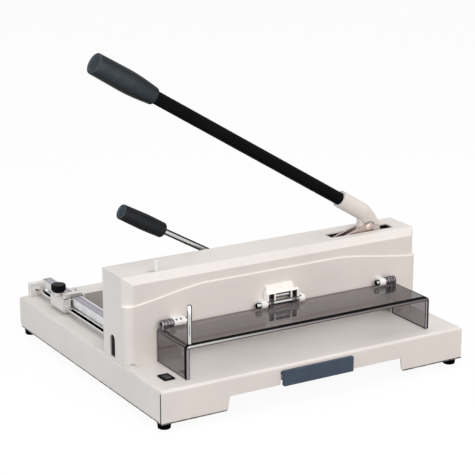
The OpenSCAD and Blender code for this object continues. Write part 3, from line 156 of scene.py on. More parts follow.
def join(links, value, socket):
    """Links a socket to an input, or sets the input to a value."""
    if isinstance(value, bpy.types.NodeSocket):
        links.new(value, socket)
    else:
        socket.default_value = value


def sums(nodes, links, kind, first, second):
    """A sum of two values, where each is a socket or a number."""
    node = nodes.new("ShaderNodeMath")
    node.operation = kind
    join(links, first, node.inputs[0])
    join(links, second, node.inputs[1])
    return node.outputs["Value"]


def bare_nodes(owner, output):
    """Empties a node tree of a material or a world; gives its nodes, links and a new output's surface."""
    owner.use_nodes = True
    nodes, links = owner.node_tree.nodes, owner.node_tree.links
    nodes.clear()
    return nodes, links, nodes.new(output).inputs["Surface"]


def coloured(nodes, kind, colour, strength=1.0):
    """A new shader with a colour, and with a strength where it shines."""
    shader = nodes.new(kind)
    shader.inputs["Color"].default_value = (*colour, 1.0)
    if "Strength" in shader.inputs:
        shader.inputs["Strength"].default_value = strength
    return shader.outputs[0]


def mixed(nodes, links, share, first, second):
    """A mix of two shaders; the share of the second is a socket or a number."""
    blend = nodes.new("ShaderNodeMixShader")
    for value, socket in zip((share, first, second), blend.inputs):
        join(links, value, socket)
    return blend.outputs["Shader"]


def seen_rays(nodes, links):
    """One for rays from the camera and for those seen in gloss or through glass, nought for the rest."""
    rays = nodes.new("ShaderNodeLightPath").outputs
    seen = sums(nodes, links, "MAXIMUM", rays["Is Camera Ray"], rays["Is Glossy Ray"])
    return sums(nodes, links, "MAXIMUM", seen, rays["Is Transmission Ray"])


# Materials


class Finish:
    """A material in the making: one shader, fed by patterns on the piece's own coordinates."""

    def __init__(self, name):
        self.material = bpy.data.materials.new(name)
        self.nodes, self.links, surface = bare_nodes(self.material, "ShaderNodeOutputMaterial")
        self.shader = self.nodes.new("ShaderNodeBsdfPrincipled")
        self.links.new(self.shader.outputs["BSDF"], surface)
        self.coordinates = self.nodes.new("ShaderNodeTexCoord").outputs["Object"]

    def feed(self, **values):
        """Gives the shader patterns or constants; an underscore in a name stands for a space."""
        for name, value in values.items():
            join(self.links, value, self.shader.inputs[name.replace("_", " ")])
        return self

    def noise(self, size, detail=2.0, stretch=None, distortion=0.0):
        """Noise whose features are about `size` metres, longer along an axis where stretched."""
        place = self.coordinates
        if stretch:
            mapping = self.nodes.new("ShaderNodeMapping")
            mapping.inputs["Scale"].default_value = [1.0 / s for s in stretch]
            self.links.new(place, mapping.inputs["Vector"])
            place = mapping.outputs["Vector"]
        texture = self.nodes.new("ShaderNodeTexNoise")
        texture.inputs["Scale"].default_value = 1.0 / size
        texture.inputs["Detail"].default_value = detail
        texture.inputs["Distortion"].default_value = distortion
        self.links.new(place, texture.inputs["Vector"])
        return texture.outputs["Fac"]

    def edge(self):
        """One along a piece's rounded edges, nought elsewhere."""
        node = self.nodes.new("ShaderNodeAttribute")
        node.attribute_name = "edge"
        return node.outputs["Fac"]

    def edge_wear_and_light(self, size, low, high, detail=2.0):
        """How far the rounded edges are recoloured, for wear and for painted highlight and shade along them:
        unevenly, from low to high.
        """
        return self.sums("MULTIPLY", self.edge(), self.span(self.noise(size, detail), low, high))

    def turned(self):
        """Nought where the surface faces the viewer, one where it turns away."""
        return self.nodes.new("ShaderNodeLayerWeight").outputs["Facing"]

    def curve(self, pattern, points):
        """A line through pairs of place and height, both from nought to one."""
        node = self.nodes.new("ShaderNodeFloatCurve")
        line = node.mapping.curves[0].points
        while len(line) < len(points):
            line.new(0.5, 0.5)
        for point, place in zip(line, points):
            point.location = place
            point.handle_type = "VECTOR"
        node.mapping.update()
        self.links.new(pattern, node.inputs["Value"])
        return node.outputs["Value"]

    def along(self, axis):
        """The place along one axis of the piece, in metres."""
        node = self.nodes.new("ShaderNodeSeparateXYZ")
        self.links.new(self.coordinates, node.inputs["Vector"])
        return node.outputs[axis]

    def across(self, node):
        """The place along X as a share of a node's width."""
        low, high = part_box(node)
        return self.span(self.along("X"), 0.0, 1.0, low.x, high.x)

    def sums(self, kind, first, second):
        """A sum of two values."""
        return sums(self.nodes, self.links, kind, first, second)

    def span(self, pattern, low, high, start=0.3, end=0.7):
        """Runs from low to high as the pattern goes from start to end."""
        node = self.nodes.new("ShaderNodeMapRange")
        for name, value in zip(("From Min", "From Max", "To Min", "To Max"), (start, end, low, high)):
            node.inputs[name].default_value = value
        self.links.new(pattern, node.inputs["Value"])
        return node.outputs["Result"]

    def past(self, pattern, place, fade):
        """Nought up to a place, one beyond it."""
        return self.span(pattern, 0.0, 1.0, place, place + fade)

    def before(self, pattern, place, fade):
        """One up to a place, nought beyond it."""
        return self.span(pattern, 1.0, 0.0, place, place + fade)

    def shades(self, pattern, stops):
        """Colours along a pattern: pairs of place and colour."""
        node = self.nodes.new("ShaderNodeValToRGB")
        ramp = node.color_ramp
        while len(ramp.elements) < len(stops):
            ramp.elements.new(1.0)
        for element, (place, colour) in zip(ramp.elements, stops):
            element.position = place
            element.color = (*colour, 1.0)
        self.links.new(pattern, node.inputs["Fac"])
        return node.outputs["Color"]

    def clouded(self, pattern, colour, dark, light):
        """A colour that a pattern makes darker and lighter by these factors."""
        return self.shades(pattern, [(0.3, scaled(colour, dark)), (0.7, scaled(colour, light))])

    def worn(self, colour, edge_colour, pattern):
        """The colour, giving way to another where a pattern breaks through."""
        node = self.nodes.new("ShaderNodeMix")
        node.data_type = "RGBA"
        self.links.new(pattern, node.inputs["Factor"])
        self.links.new(colour, node.inputs["A"])
        plain = not isinstance(edge_colour, bpy.types.NodeSocket)
        join(self.links, (*edge_colour, 1.0) if plain else edge_colour, node.inputs["B"])
        return node.outputs["Result"]

    def bump(self, height, depth, strength):
        """Raises the surface by a pattern, to a depth in metres, and returns the finished material."""
        node = self.nodes.new("ShaderNodeBump")
        node.inputs["Distance"].default_value = depth
        node.inputs["Strength"].default_value = strength
        self.links.new(height, node.inputs["Height"])
        self.links.new(node.outputs["Normal"], self.shader.inputs["Normal"])
        return self.material


def scaled(colour, factor):
    """A colour made lighter or darker."""
    return tuple(min(1.0, channel * factor) for channel in colour)


def baked_paint(finish, colour):
    """Gives a finish the gloss and orange peel of baked paint, and returns its softly clouded colour."""
    finish.feed(Roughness=finish.span(finish.noise(0.035, detail=4.0), 0.36, 0.47))
    finish.bump(finish.noise(0.0012, detail=1.0), 0.00005, 0.25)
    cloud = finish.noise(0.09, detail=3.0)
    return finish.shades(cloud, [(0.28, scaled(colour, 0.955)), (0.5, colour), (0.74, scaled(colour, 1.03))])


def powder_coat(name, colour):
    """Baked paint, paler along the edges: part wear, part painted highlight."""
    finish = Finish(name)
    # paler edges: part wear, part painted highlight
    edge_wear_and_highlight = finish.edge_wear_and_light(0.018, 0.55, 1.0, detail=3.0)
    finish.feed(Base_Color=finish.worn(baked_paint(finish, colour), scaled(colour, 1.24), edge_wear_and_highlight))
    return finish.material


def base_coat(name, colour):
    """The base's baked paint, paler along its edges (part wear, part painted highlight), with a broken dark band
    of painted shade along the foot of its sides.
    """
    finish = Finish(name)
    foot_shade_height, fade = 0.0022, 0.0005
    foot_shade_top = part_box("base_shell")[0].z + foot_shade_height
    edge_wear_and_highlight = finish.edge_wear_and_light(0.018, 0.3, 0.9, detail=3.0)
    paint = finish.worn(baked_paint(finish, colour), scaled(colour, 1.18), edge_wear_and_highlight)
    # painted shade: a dark band along the foot of the sides, broken up by noise
    foot = finish.before(finish.along("Z"), foot_shade_top, fade)
    foot_shade = finish.sums("MULTIPLY", foot, finish.span(finish.noise(0.012), 0.7, 1.0, 0.35, 0.6))
    finish.feed(Base_Color=finish.worn(paint, scaled(colour, 0.05), foot_shade))
    return finish.material


def panel_coat(name, colour):
    """The front panel's baked paint, with a painted highlight along the fold of its curved top edge."""
    finish = Finish(name)
    highlight_width, fade = 0.0016, 0.0004
    low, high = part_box("lower_panel")
    edge = finish.span(finish.curve(finish.across("lower_panel"), panel_line()), low.z, high.z, 0.0, 1.0)
    below = finish.sums("SUBTRACT", edge, finish.along("Z"))
    # painted highlight: the paint is lighter in a narrow band under the curved top edge
    fold = finish.before(below, highlight_width, fade)
    finish.feed(Base_Color=finish.worn(baked_paint(finish, colour), scaled(colour, 1.36), fold))
    return finish.material


def panel_line(points=30):
    """The panel's curved top edge: pairs of place and height, both as shares of the panel's size."""
    mesh = frame["nodes"]["lower_panel"].data
    low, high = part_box("lower_panel")
    foot = 0.03
    ledge = {index for face in mesh.polygons if face.normal.z > LEANING and face.center.z > low.z + foot
             for index in face.vertices}
    top = {}
    for index in ledge:
        place = mesh.vertices[index].co
        column = round((place.x - low.x) / (high.x - low.x), 4)
        top[column] = max(top.get(column, 0.0), (place.z - low.z) / (high.z - low.z))
    line = sorted(top.items())
    return line[::max(1, len(line) // points)] + line[-1:]


def moulding(name, colour, roughness, grain, gloss=0.5, edge=1.35):
    """Moulded plastic with a fine spark-eroded grain; its rounded edges take edge times its colour: above one as
    part wear, part painted highlight, below one as painted shade.
    """
    finish = Finish(name).feed(Specular_IOR_Level=gloss)
    texture = finish.noise(grain)
    body = finish.clouded(finish.noise(0.03, detail=3.0), colour, 0.9, 1.08)
    # rounded edges recoloured: part wear and painted highlight when lighter, painted shade when darker
    finish.feed(
        Base_Color=finish.worn(body, scaled(colour, edge), finish.edge_wear_and_light(0.006, 0.1, 0.8)),
        Roughness=finish.span(texture, roughness - 0.05, roughness + 0.07),
    )
    return finish.bump(texture, 0.00004, 0.35)


def rubber(name, colour, gloss=0.12, shade=0.15):
    """Soft dull rubber with a dusty bloom and a leathery grain, with painted shade where it turns away."""
    finish = Finish(name).feed(Specular_IOR_Level=gloss)
    dust = finish.noise(0.012, detail=5.0)
    grain = finish.noise(0.0009)
    body = finish.shades(dust, [(0.3, scaled(colour, 0.8)), (0.6, colour), (0.8, scaled(colour, 1.5))])
    bloom = finish.worn(body, scaled(colour, 2.0), finish.sums("MULTIPLY", finish.edge(), 0.5))
    # painted shade: darker where the surface turns away from the viewer
    away = finish.span(finish.turned(), 0.0, 1.0, 0.04, 0.42)
    finish.feed(
        Base_Color=finish.worn(bloom, scaled(colour, shade), away),
        Roughness=finish.span(grain, 0.40, 0.52),
    )
    return finish.bump(grain, 0.00003, 0.3)


def enamel(name, colour):
    """Smooth black stove enamel with faint wiping marks."""
    finish = Finish(name)
    finish.feed(
        Base_Color=finish.clouded(finish.noise(0.05), colour, 0.8, 1.3),
        Roughness=finish.span(finish.noise(0.03, detail=3.0), 0.13, 0.18),
        Specular_IOR_Level=0.0,
        Coat_Weight=0.09,
        Coat_Roughness=0.10,
    )
    return finish.bump(finish.noise(0.006, detail=1.0), 0.00001, 0.05)


def metal(name, colour, roughness, grind, depth=0.00003, specks=0.9, rim=1.0):
    """Bare metal ground in one direction, with darker handling marks; with rim under one, a painted dark
    reflection along its rims where it turns away.
    """
    finish = Finish(name)
    lines = finish.noise(0.0007, detail=3.0, stretch=grind)
    marks = finish.noise(0.02, detail=4.0)
    body = finish.shades(marks, [(0.3, scaled(colour, specks)), (0.6, colour), (0.85, scaled(colour, 1.06))])
    worn = finish.worn(body, scaled(colour, 1.25), finish.sums("MULTIPLY", finish.edge(), 0.6))
    # painted dark reflection: darker colour and tint along the rims, where the surface turns away
    if rim < 1.0:
        worn = finish.worn(worn, scaled(colour, rim), finish.span(finish.turned(), 0.0, 1.0, 0.18, 0.34))
    finish.feed(Base_Color=worn, Roughness=finish.span(lines, *roughness), Metallic=1.0,
                Specular_Tint=(rim, rim, rim, 1.0))
    return finish.bump(lines, depth, 0.3)


def casting(name, colour):
    """Painted cast iron with a sandy skin."""
    finish = Finish(name)
    sand = finish.noise(0.0016, detail=3.0)
    body = finish.clouded(finish.noise(0.03, detail=3.0), colour, 0.8, 1.2)
    finish.feed(
        Base_Color=finish.worn(body, scaled(colour, 2.2), finish.sums("MULTIPLY", finish.edge(), 0.7)),
        Roughness=finish.span(sand, 0.45, 0.62),
        Metallic=0.35,
    )
    return finish.bump(sand, 0.00015, 0.4)


def smoked_sheet(name, colour):
    """Clear tinted acrylic with faint polishing swirls."""
    finish = Finish(name)
    swirl = finish.noise(0.003, detail=4.0, stretch=(6.0, 1.0, 1.0), distortion=0.4)
    finish.feed(
        Base_Color=finish.clouded(finish.noise(0.15), colour, 0.97, 1.03),
        Roughness=finish.span(swirl, 0.015, 0.05),
        Transmission_Weight=1.0,
        IOR=1.49,
    )
    return finish.bump(finish.noise(0.02, detail=1.0), 0.00002, 0.05)


def dark_gloss(name, colour):
    """Deep smoked moulding that mirrors like dark metal, with painted highlights along its ribs."""
    finish = Finish(name)
    cloud = finish.noise(0.004, detail=3.0)
    body = finish.clouded(cloud, colour, 0.2, 0.45)
    # painted highlight: the ribs' rounded edges much lighter than the body
    finish.feed(
        Base_Color=finish.worn(body, scaled(colour, 4.0), finish.edge_wear_and_light(0.003, 0.7, 1.0)),
        Roughness=finish.span(cloud, 0.06, 0.12),
        Metallic=0.85,
    )
    return finish.bump(finish.noise(0.0012), 0.00002, 0.15)


def edge_line(name, colour):
    """Polished edge of the smoked sheet, near-black: painted shade for the dark that shows through the sheet at
    its edge.
    """
    finish = Finish(name)
    cloud = finish.noise(0.01, detail=3.0)
    # painted shade: near-black
    finish.feed(
        Base_Color=finish.clouded(cloud, colour, 0.015, 0.04),
        Roughness=finish.span(cloud, 0.25, 0.35),
        Specular_IOR_Level=0.0,
    )
    return finish.bump(cloud, 0.00002, 0.1)


def cut_acrylic(name, colour, smoke):
    """Sawn edge of the smoked sheet, with painted highlight and shade: dark, pale at the left as painted highlight
    and darker towards the right, dark again along the top, with grey legs.
    """
    finish = Finish(name)
    low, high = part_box("guard_sheet")
    saw = finish.noise(0.0006, detail=3.0, stretch=(1.0, 8.0, 1.0))
    side, up, reach = finish.along("X"), finish.along("Z"), finish.across("guard_sheet")
    under_depth, pale_depth, leg_depth = 0.0078, 0.0052, 0.008
    fine_fade, fade, leg_fade = 0.0005, 0.0006, 0.001
    leg_grey = finish.shades(reach, [(0.0, scaled(smoke, 1.2)), (1.0, scaled(smoke, 1.5))])
    # painted shade: a darker band under the pale one, darker towards the right
    under = finish.shades(reach, [(0.0, scaled(smoke, 0.5)), (1.0, scaled(smoke, 0.35))])
    # painted highlight at the left of the front edge, turning to painted shade towards the right
    pale = finish.shades(reach, [(0.0, scaled(colour, 0.9)), (0.15, scaled(colour, 0.72)),
                                 (0.4, scaled(smoke, 1.4)), (1.0, scaled(smoke, 0.7))])
    grey = finish.worn(leg_grey, under, finish.past(up, high.z - under_depth, fine_fade))
    body = finish.worn(grey, pale, finish.past(up, high.z - pale_depth, fade))
    # painted shade: dark lines along the top, the right edge and the inner left leg
    line_depth, outer_width, inner_width, leg_width = (0.0020, 0.0030), 0.0042, 0.0056, 0.02
    line_foot = finish.span(reach, high.z - line_depth[0], high.z - line_depth[1], 0.1, 0.6)
    line = finish.past(finish.sums("SUBTRACT", up, line_foot), 0.0, fine_fade)
    outer = finish.past(side, high.x - outer_width, fade)
    inner = finish.sums("MULTIPLY", finish.past(side, low.x + inner_width, fade),
                        finish.before(side, low.x + leg_width, leg_fade))
    leg = finish.sums("MULTIPLY", inner, finish.before(up, high.z - leg_depth, leg_fade))
    dark = finish.sums("MAXIMUM", finish.sums("MAXIMUM", line, outer), leg)
    finish.feed(
        Base_Color=finish.worn(body, scaled(smoke, 0.02), dark),
        Roughness=finish.span(saw, 0.25, 0.4),
        Specular_IOR_Level=0.2,
    )
    return finish.bump(saw, 0.00004, 0.3)


def ruler_print(name, colour):
    """Printed strip along the ruler: a dark line at the left, a pale bare border at the right."""
    finish = Finish(name)
    bare, black = (0.80, 0.80, 0.81), (0.03, 0.027, 0.036)
    ink = finish.noise(0.0035, detail=3.0)
    reach = finish.across("side_ruler")
    strip = finish.shades(ink, [(0.35, scaled(colour, 0.75)), (0.5, colour), (0.65, scaled(colour, 1.5))])
    border = finish.span(reach, 0.0, 1.0, 0.80, 0.84)
    rule = finish.span(reach, 1.0, 0.0, 0.06, 0.10)
    body = finish.worn(finish.worn(strip, bare, border), black, rule)
    finish.feed(Base_Color=body, Roughness=finish.span(ink, 0.36, 0.48))
    return finish.bump(finish.noise(0.0007), 0.00003, 0.2)


def dark_joint(name, colour):
    """Painted shade in open joints, slits and hollow cells: near-black, mottled sheet."""
    finish = Finish(name)
    dust = finish.noise(0.004, detail=4.0)
    finish.feed(Base_Color=finish.clouded(dust, colour, 0.05, 0.14), Roughness=finish.span(dust, 0.6, 0.8))
    return finish.bump(dust, 0.00005, 0.3)


def make_finishes(colours):
    """One material for each material slot of the record, and a few for parts of a piece."""
    cream, moulded, black_plastic = colours.cream, colours.cream_plastic, colours.black_plastic
    steel, chrome, smoke, grip_rubber = colours.steel, colours.chrome, colours.smoke, colours.grip_rubber
    made = {
        "cream_paint": powder_coat("cream_powder_coat", cream),
        "cream_plastic": moulding("cream_moulding", moulded, 0.36, 0.0011),
        "gauge_plastic": moulding("gauge_moulding", scaled(moulded, 0.8), 0.36, 0.0011),
        # the switch rocker: black moulding five times lighter, with lighter edges, as painted highlight
        "switch_face": moulding("switch_face", scaled(black_plastic, 5.0), 0.30, 0.0008, gloss=0.3, edge=2.0),
        "frame_iron": casting("frame_casting", colours.iron),
        "bare_steel": metal("bare_steel", steel, (0.26, 0.40), (14.0, 1.0, 1.0)),
        "spring_steel": metal("spring_steel", scaled(steel, 0.7), (0.28, 0.4), (1.0, 8.0, 1.0)),
        "blade_steel": metal("blade_steel", scaled(steel, 1.25), (0.14, 0.24), (1.0, 1.0, 14.0)),
        "bright_chrome": metal("bright_chrome", chrome, (0.05, 0.11), (1.0, 1.0, 10.0), 0.00001, 0.96),
        # chrome with a painted dark reflection along its rims
        "rimmed_chrome": metal("rimmed_chrome", scaled(chrome, 0.82), (0.05, 0.11), (1.0, 1.0, 10.0), 0.00001,
                               0.96, rim=0.05),
        "warm_steel": metal("warm_steel", colours.warm_steel, (0.30, 0.42), (8.0, 1.0, 1.0)),
        "black_paint": enamel("black_enamel", colours.black_paint),
        "black_rubber": rubber("black_rubber", colours.black_rubber),
        # edge=4.0: painted highlight along the rounded edges of the knob and the switch
        "black_plastic": moulding("black_moulding", black_plastic, 0.34, 0.0008, gloss=0.03, edge=4.0),
        "smoked_plastic": smoked_sheet("smoked_acrylic", smoke),
        # edge=0.3: the drawer front's rounded edges darkened as painted shade
        "slate_plastic": moulding("slate_moulding", colours.slate, 0.42, 0.0009, gloss=0.25, edge=0.3),
        "pale_aluminium": moulding("pale_anodised", colours.anodised, 0.36, 0.0012),
        "white_plastic": moulding("white_nylon", colours.white, 0.40, 0.001),
        "bearing_brass": metal("bearing_bronze", colours.bronze, (0.28, 0.42), (1.0, 1.0, 6.0)),
        "stick_plastic": moulding("stick_plastic", colours.stick, 0.45, 0.0009),
        "drawer_steel": powder_coat("drawer_coat", scaled(cream, 0.92)),
        "grip_rubber": rubber("grip_rubber", grip_rubber),
        # the feet: black rubber darkened further, as painted shade
        "foot_rubber": rubber("foot_rubber", scaled(colours.black_rubber, 0.15), gloss=0.0),
        "grip_end": rubber("grip_end", grip_rubber, gloss=0.3, shade=0.7),
        "smoked_ribs": dark_gloss("smoked_ribs", smoke),
        "edge_line": edge_line("edge_line", smoke),
        "base_coat": base_coat("base_powder_coat", cream),
        "panel_coat": panel_coat("panel_powder_coat", cream),
        # the gauge beam's front face: cream paint darkened as painted shade
        "beam_coat": powder_coat("beam_coat", scaled(cream, 0.62)),
        "cut_acrylic": cut_acrylic("cut_acrylic", colours.cut_edge, smoke),
        "ruler_print": ruler_print("ruler_print", colours.scale),
        "dark_joint": dark_joint("dark_joint", cream),
    }
    missing = sorted(set(NODE_SLOT.values()) - set(made))
    if missing:
        raise RuntimeError(f"no finish for the slots {missing}")
    return made


def finish_of(slot):
    """The material that was made for a slot."""
    name = bpy.context.scene["cutter_slots"][slot]
    return bpy.data.materials[name]


# Pieces


def link_object(name, data):
    """A new object in the scene, with its data."""
    item = bpy.data.objects.new(name, data)
    bpy.context.scene.collection.objects.link(item)
    return item


def flat_sheet(name, paint_name, corners):
    """A new sheet with four corners, and the nodes, links and output of its bare material."""
    material = bpy.data.materials.new(paint_name)
    mesh = bpy.data.meshes.new(name)
    mesh.from_pydata(corners, [], [(0, 1, 2, 3)])
    mesh.materials.append(material)
    return link_object(name, mesh), *bare_nodes(material, "ShaderNodeOutputMaterial")


def new_piece(name, mesh, body, node=None):
    """Links a finished mesh as a piece that rides on a body, and stands for a node if one is named."""
    piece = link_object(name, mesh)
    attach(piece, body)
    if node:
        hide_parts(node)
    return piece


def plain_mesh(carrier, name):
    """The mesh of an object with its modifiers worked in; the object itself is removed."""
    bpy.context.view_layer.update()
    graph = bpy.context.evaluated_depsgraph_get()
    shaped = carrier.evaluated_get(graph)
    mesh = bpy.data.meshes.new_from_object(shaped, preserve_all_data_layers=True, depsgraph=graph)
    mesh.name = name
    bpy.data.objects.remove(carrier)
    return mesh


def paint(*nodes):
    """Gives solids that keep their shape the finish of their slot."""
    for node in nodes:
        mesh = frame["nodes"][node].data
        mesh.materials.clear()
        mesh.materials.append(finish_of(NODE_SLOT[node]))


def round_off(node, width, finish=None, patches=(), cuts=()):
    """Stands a copy with rounded edges in for a solid, and marks those edges for the finish.

    A patch is another finish and a test that says where it goes, from a face's middle, its normal and
    whether it belongs to a rounded edge. A cut is a plane, as a point and a normal, that splits faces.
    """
    mesh = bpy.data.meshes.new(node + "_rounded")
    work = bmesh.new()
    work.from_mesh(frame["nodes"][node].data)
    bmesh.ops.remove_doubles(work, verts=work.verts[:], dist=MERGE_DISTANCE)
    bmesh.ops.dissolve_limit(work, angle_limit=FLAT_ANGLE, verts=work.verts[:], edges=work.edges[:])
    for place, normal in cuts:
        everything = work.verts[:] + work.edges[:] + work.faces[:]
        bmesh.ops.bisect_plane(work, geom=everything, plane_co=place, plane_no=normal)
    for face in work.faces:
        face.smooth = True
    work.to_mesh(mesh)
    work.free()
    if "custom_normal" in mesh.attributes:
        mesh.attributes.remove(mesh.attributes["custom_normal"])
    body_finish = finish_of(finish or NODE_SLOT[node])
    mesh.materials.clear()
    mesh.materials.append(body_finish)
    mesh.materials.append(body_finish)
    carrier = link_object(node + "_carrier", mesh)
    bevel = carrier.modifiers.new("rounded_edges", "BEVEL")
    bevel.width = width
    bevel.segments = EDGE_SEGMENTS
    bevel.limit_method = "ANGLE"
    bevel.angle_limit = EDGE_ANGLE
    bevel.harden_normals = True
    bevel.use_clamp_overlap = True
    bevel.material = 1
    made = plain_mesh(carrier, node + "_rounded")
    rounded = [face.material_index == 1 for face in made.polygons]
    edge = made.attributes.new("edge", "FLOAT", "FACE")
    edge.data.foreach_set("value", [float(mark) for mark in rounded])
    for face in made.polygons:
        face.material_index = 0
    made.materials.pop(index=1)
    for index, (patch, belongs) in enumerate(patches, start=1):
        made.materials.append(finish_of(patch))
        for face in made.polygons:
            if belongs(face.center, face.normal, rounded[face.index]):
                face.material_index = index
    return new_piece(node + "_rounded", made, NODE_BODY[node], node)


def far_end(node, joint):
    """A test for the faces that close the far end of a lever's grip."""
    low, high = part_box(node)
    axis = (low + high) / 2 - Vector(JOINT[joint]["pos_m"])
    axis.y = 0.0
    axis.normalize()
    least_facing = 0.6
    return lambda place, normal, rounded: normal.dot(axis) > least_facing


# Node trees for what repeats


class Tree:
    """A geometry node tree in the making, with named inputs for its sizes."""

    def __init__(self, name, inputs):
        self.tree = bpy.data.node_groups.new(name, "GeometryNodeTree")
        self.tree.interface.new_socket("Geometry", in_out="INPUT", socket_type="NodeSocketGeometry")
        for socket, kind in inputs:
            self.tree.interface.new_socket(socket, in_out="INPUT", socket_type="NodeSocket" + kind)
        self.tree.interface.new_socket("Geometry", in_out="OUTPUT", socket_type="NodeSocketGeometry")
        self.inputs = self.tree.nodes.new("NodeGroupInput").outputs

    def add(self, kind, settings=None, **sockets):
        """Adds a node; a socket takes a number, a vector or another socket."""
        node = self.tree.nodes.new(kind)
        for name, value in (settings or {}).items():
            setattr(node, name, value)
        for name, value in sockets.items():
            join(self.tree.links, value, node.inputs[name.replace("_", " ")])
        return node

    def sums(self, kind, first, second):
        """A sum of two values."""
        return sums(self.tree.nodes, self.tree.links, kind, first, second)

    def close(self, instances):
        """Ends the tree: real geometry with its material."""
        real = self.add("GeometryNodeRealizeInstances", Geometry=instances).outputs["Geometry"]
        painted = self.add("GeometryNodeSetMaterial", Geometry=real, Material=self.inputs["Material"])
        output = self.tree.nodes.new("NodeGroupOutput")
        self.tree.links.new(painted.outputs["Geometry"], output.inputs["Geometry"])
        return self.tree


def grow(tree, data, values, name):
    """Runs a tree on a mesh or a curve and returns the result as a plain mesh."""
    carrier = bpy.data.objects.new(name + "_carrier", data)
    modifier = carrier.modifiers.new("tree", "NODES")
    modifier.node_group = tree
    for item in tree.interface.items_tree:
        if item.item_type == "SOCKET" and item.in_out == "INPUT" and item.name in values:
            modifier[item.identifier] = values[item.name]
    bpy.context.scene.collection.objects.link(carrier)
    return plain_mesh(carrier, name)


def scale_marks_tree():
    """A row of marks along Y, every second one longer."""
    tree = Tree("scale_marks", [("Start", "Vector"), ("Marks", "Int"), ("Pitch", "Float"),
                                ("Width", "Float"), ("Short", "Float"), ("Long", "Float"),
                                ("Lift", "Float"), ("Material", "Material")])
    inputs = tree.inputs
    step = tree.add("ShaderNodeCombineXYZ", Y=inputs["Pitch"]).outputs[0]
    row = tree.add("GeometryNodeMeshLine", Count=inputs["Marks"], Start_Location=inputs["Start"], Offset=step)
    box = tree.add("GeometryNodeMeshCube", Size=(1.0, 1.0, 1.0)).outputs["Mesh"]
    left = tree.add("GeometryNodeTransform", Geometry=box, Translation=(0.5, 0.0, 0.0)).outputs["Geometry"]
    odd = tree.sums("MODULO", tree.add("GeometryNodeInputIndex").outputs[0], 2.0)
    extra = tree.sums("SUBTRACT", inputs["Long"], inputs["Short"])
    reach = tree.sums("SUBTRACT", inputs["Long"], tree.sums("MULTIPLY", odd, extra))
    size = tree.add("ShaderNodeCombineXYZ", X=reach, Y=inputs["Width"], Z=inputs["Lift"]).outputs[0]
    placed = tree.add("GeometryNodeInstanceOnPoints", Points=row.outputs["Mesh"], Instance=left, Scale=size)
    return tree.close(placed.outputs["Instances"])


def set_screws_tree():
    """Socket-headed set screws at the points of a mesh, turned to each point's own aim."""
    tree = Tree("set_screws", [("Diameter", "Float"), ("Rise", "Float"), ("Material", "Material")])
    inputs, socket_share = tree.inputs, 0.62
    radius = tree.sums("MULTIPLY", inputs["Diameter"], 0.5)
    body = tree.add("GeometryNodeMeshCylinder", {"fill_type": "NGON"}, Vertices=20, Radius=radius,
                    Depth=tree.sums("MULTIPLY", inputs["Rise"], 2.0)).outputs["Mesh"]
    hexagon = tree.add("GeometryNodeMeshCylinder", {"fill_type": "NGON"}, Vertices=6,
                       Radius=tree.sums("MULTIPLY", radius, socket_share),
                       Depth=inputs["Rise"]).outputs["Mesh"]
    lift = tree.add("ShaderNodeCombineXYZ", Z=inputs["Rise"]).outputs[0]
    socket = tree.add("GeometryNodeTransform", Geometry=hexagon, Translation=lift).outputs["Geometry"]
    head = tree.add("GeometryNodeMeshBoolean", {"operation": "DIFFERENCE"})
    tree.tree.links.new(body, head.inputs["Mesh 1"])
    tree.tree.links.new(socket, head.inputs["Mesh 2"])
    aim = tree.add("GeometryNodeInputNamedAttribute", {"data_type": "FLOAT_VECTOR"}, Name="aim")
    turned = tree.add("FunctionNodeAlignRotationToVector", {"axis": "Z"}, Vector=aim.outputs["Attribute"])
    placed = tree.add("GeometryNodeInstanceOnPoints", Points=inputs["Geometry"],
                      Instance=head.outputs["Mesh"], Rotation=turned.outputs["Rotation"])
    return tree.close(placed.outputs["Instances"])


def wound_wire_tree():
    """Round wire along a path."""
    tree = Tree("wound_wire", [("Wire", "Float"), ("Sides", "Int"), ("Material", "Material")])
    ring = tree.add("GeometryNodeCurvePrimitiveCircle", Resolution=tree.inputs["Sides"],
                    Radius=tree.sums("MULTIPLY", tree.inputs["Wire"], 0.5)).outputs["Curve"]
    wire = tree.add("GeometryNodeCurveToMesh", Curve=tree.inputs["Geometry"], Profile_Curve=ring,
                    Fill_Caps=True).outputs["Mesh"]
    smooth = tree.add("GeometryNodeSetShadeSmooth", Geometry=wire).outputs["Geometry"]
    return tree.close(smooth)


def points_mesh(name, points, aims):
    """Loose points, each with the direction that its piece faces."""
    mesh = bpy.data.meshes.new(name)
    mesh.from_pydata([tuple(p) for p in points], [], [])
    attribute = mesh.attributes.new("aim", "FLOAT_VECTOR", "POINT")
    attribute.data.foreach_set("vector", [value for aim in aims for value in aim])
    return mesh


# Operators


class CutterOperator:
    """What the cutter's operators share."""

    bl_options = {"REGISTER"}

    @classmethod
    def poll(cls, context):
        return context.scene is not None


class CUTTER_OT_finishes(CutterOperator, bpy.types.Operator):
    """Mix the cutter's paints, plastics and metals"""

    bl_idname = "cutter.finishes"
    bl_label = "Mix finishes"

    def execute(self, context):
        made = make_finishes(context.scene.cutter_finishes)
        context.scene["cutter_slots"] = {slot: material.name for slot, material in made.items()}
        return {"FINISHED"}


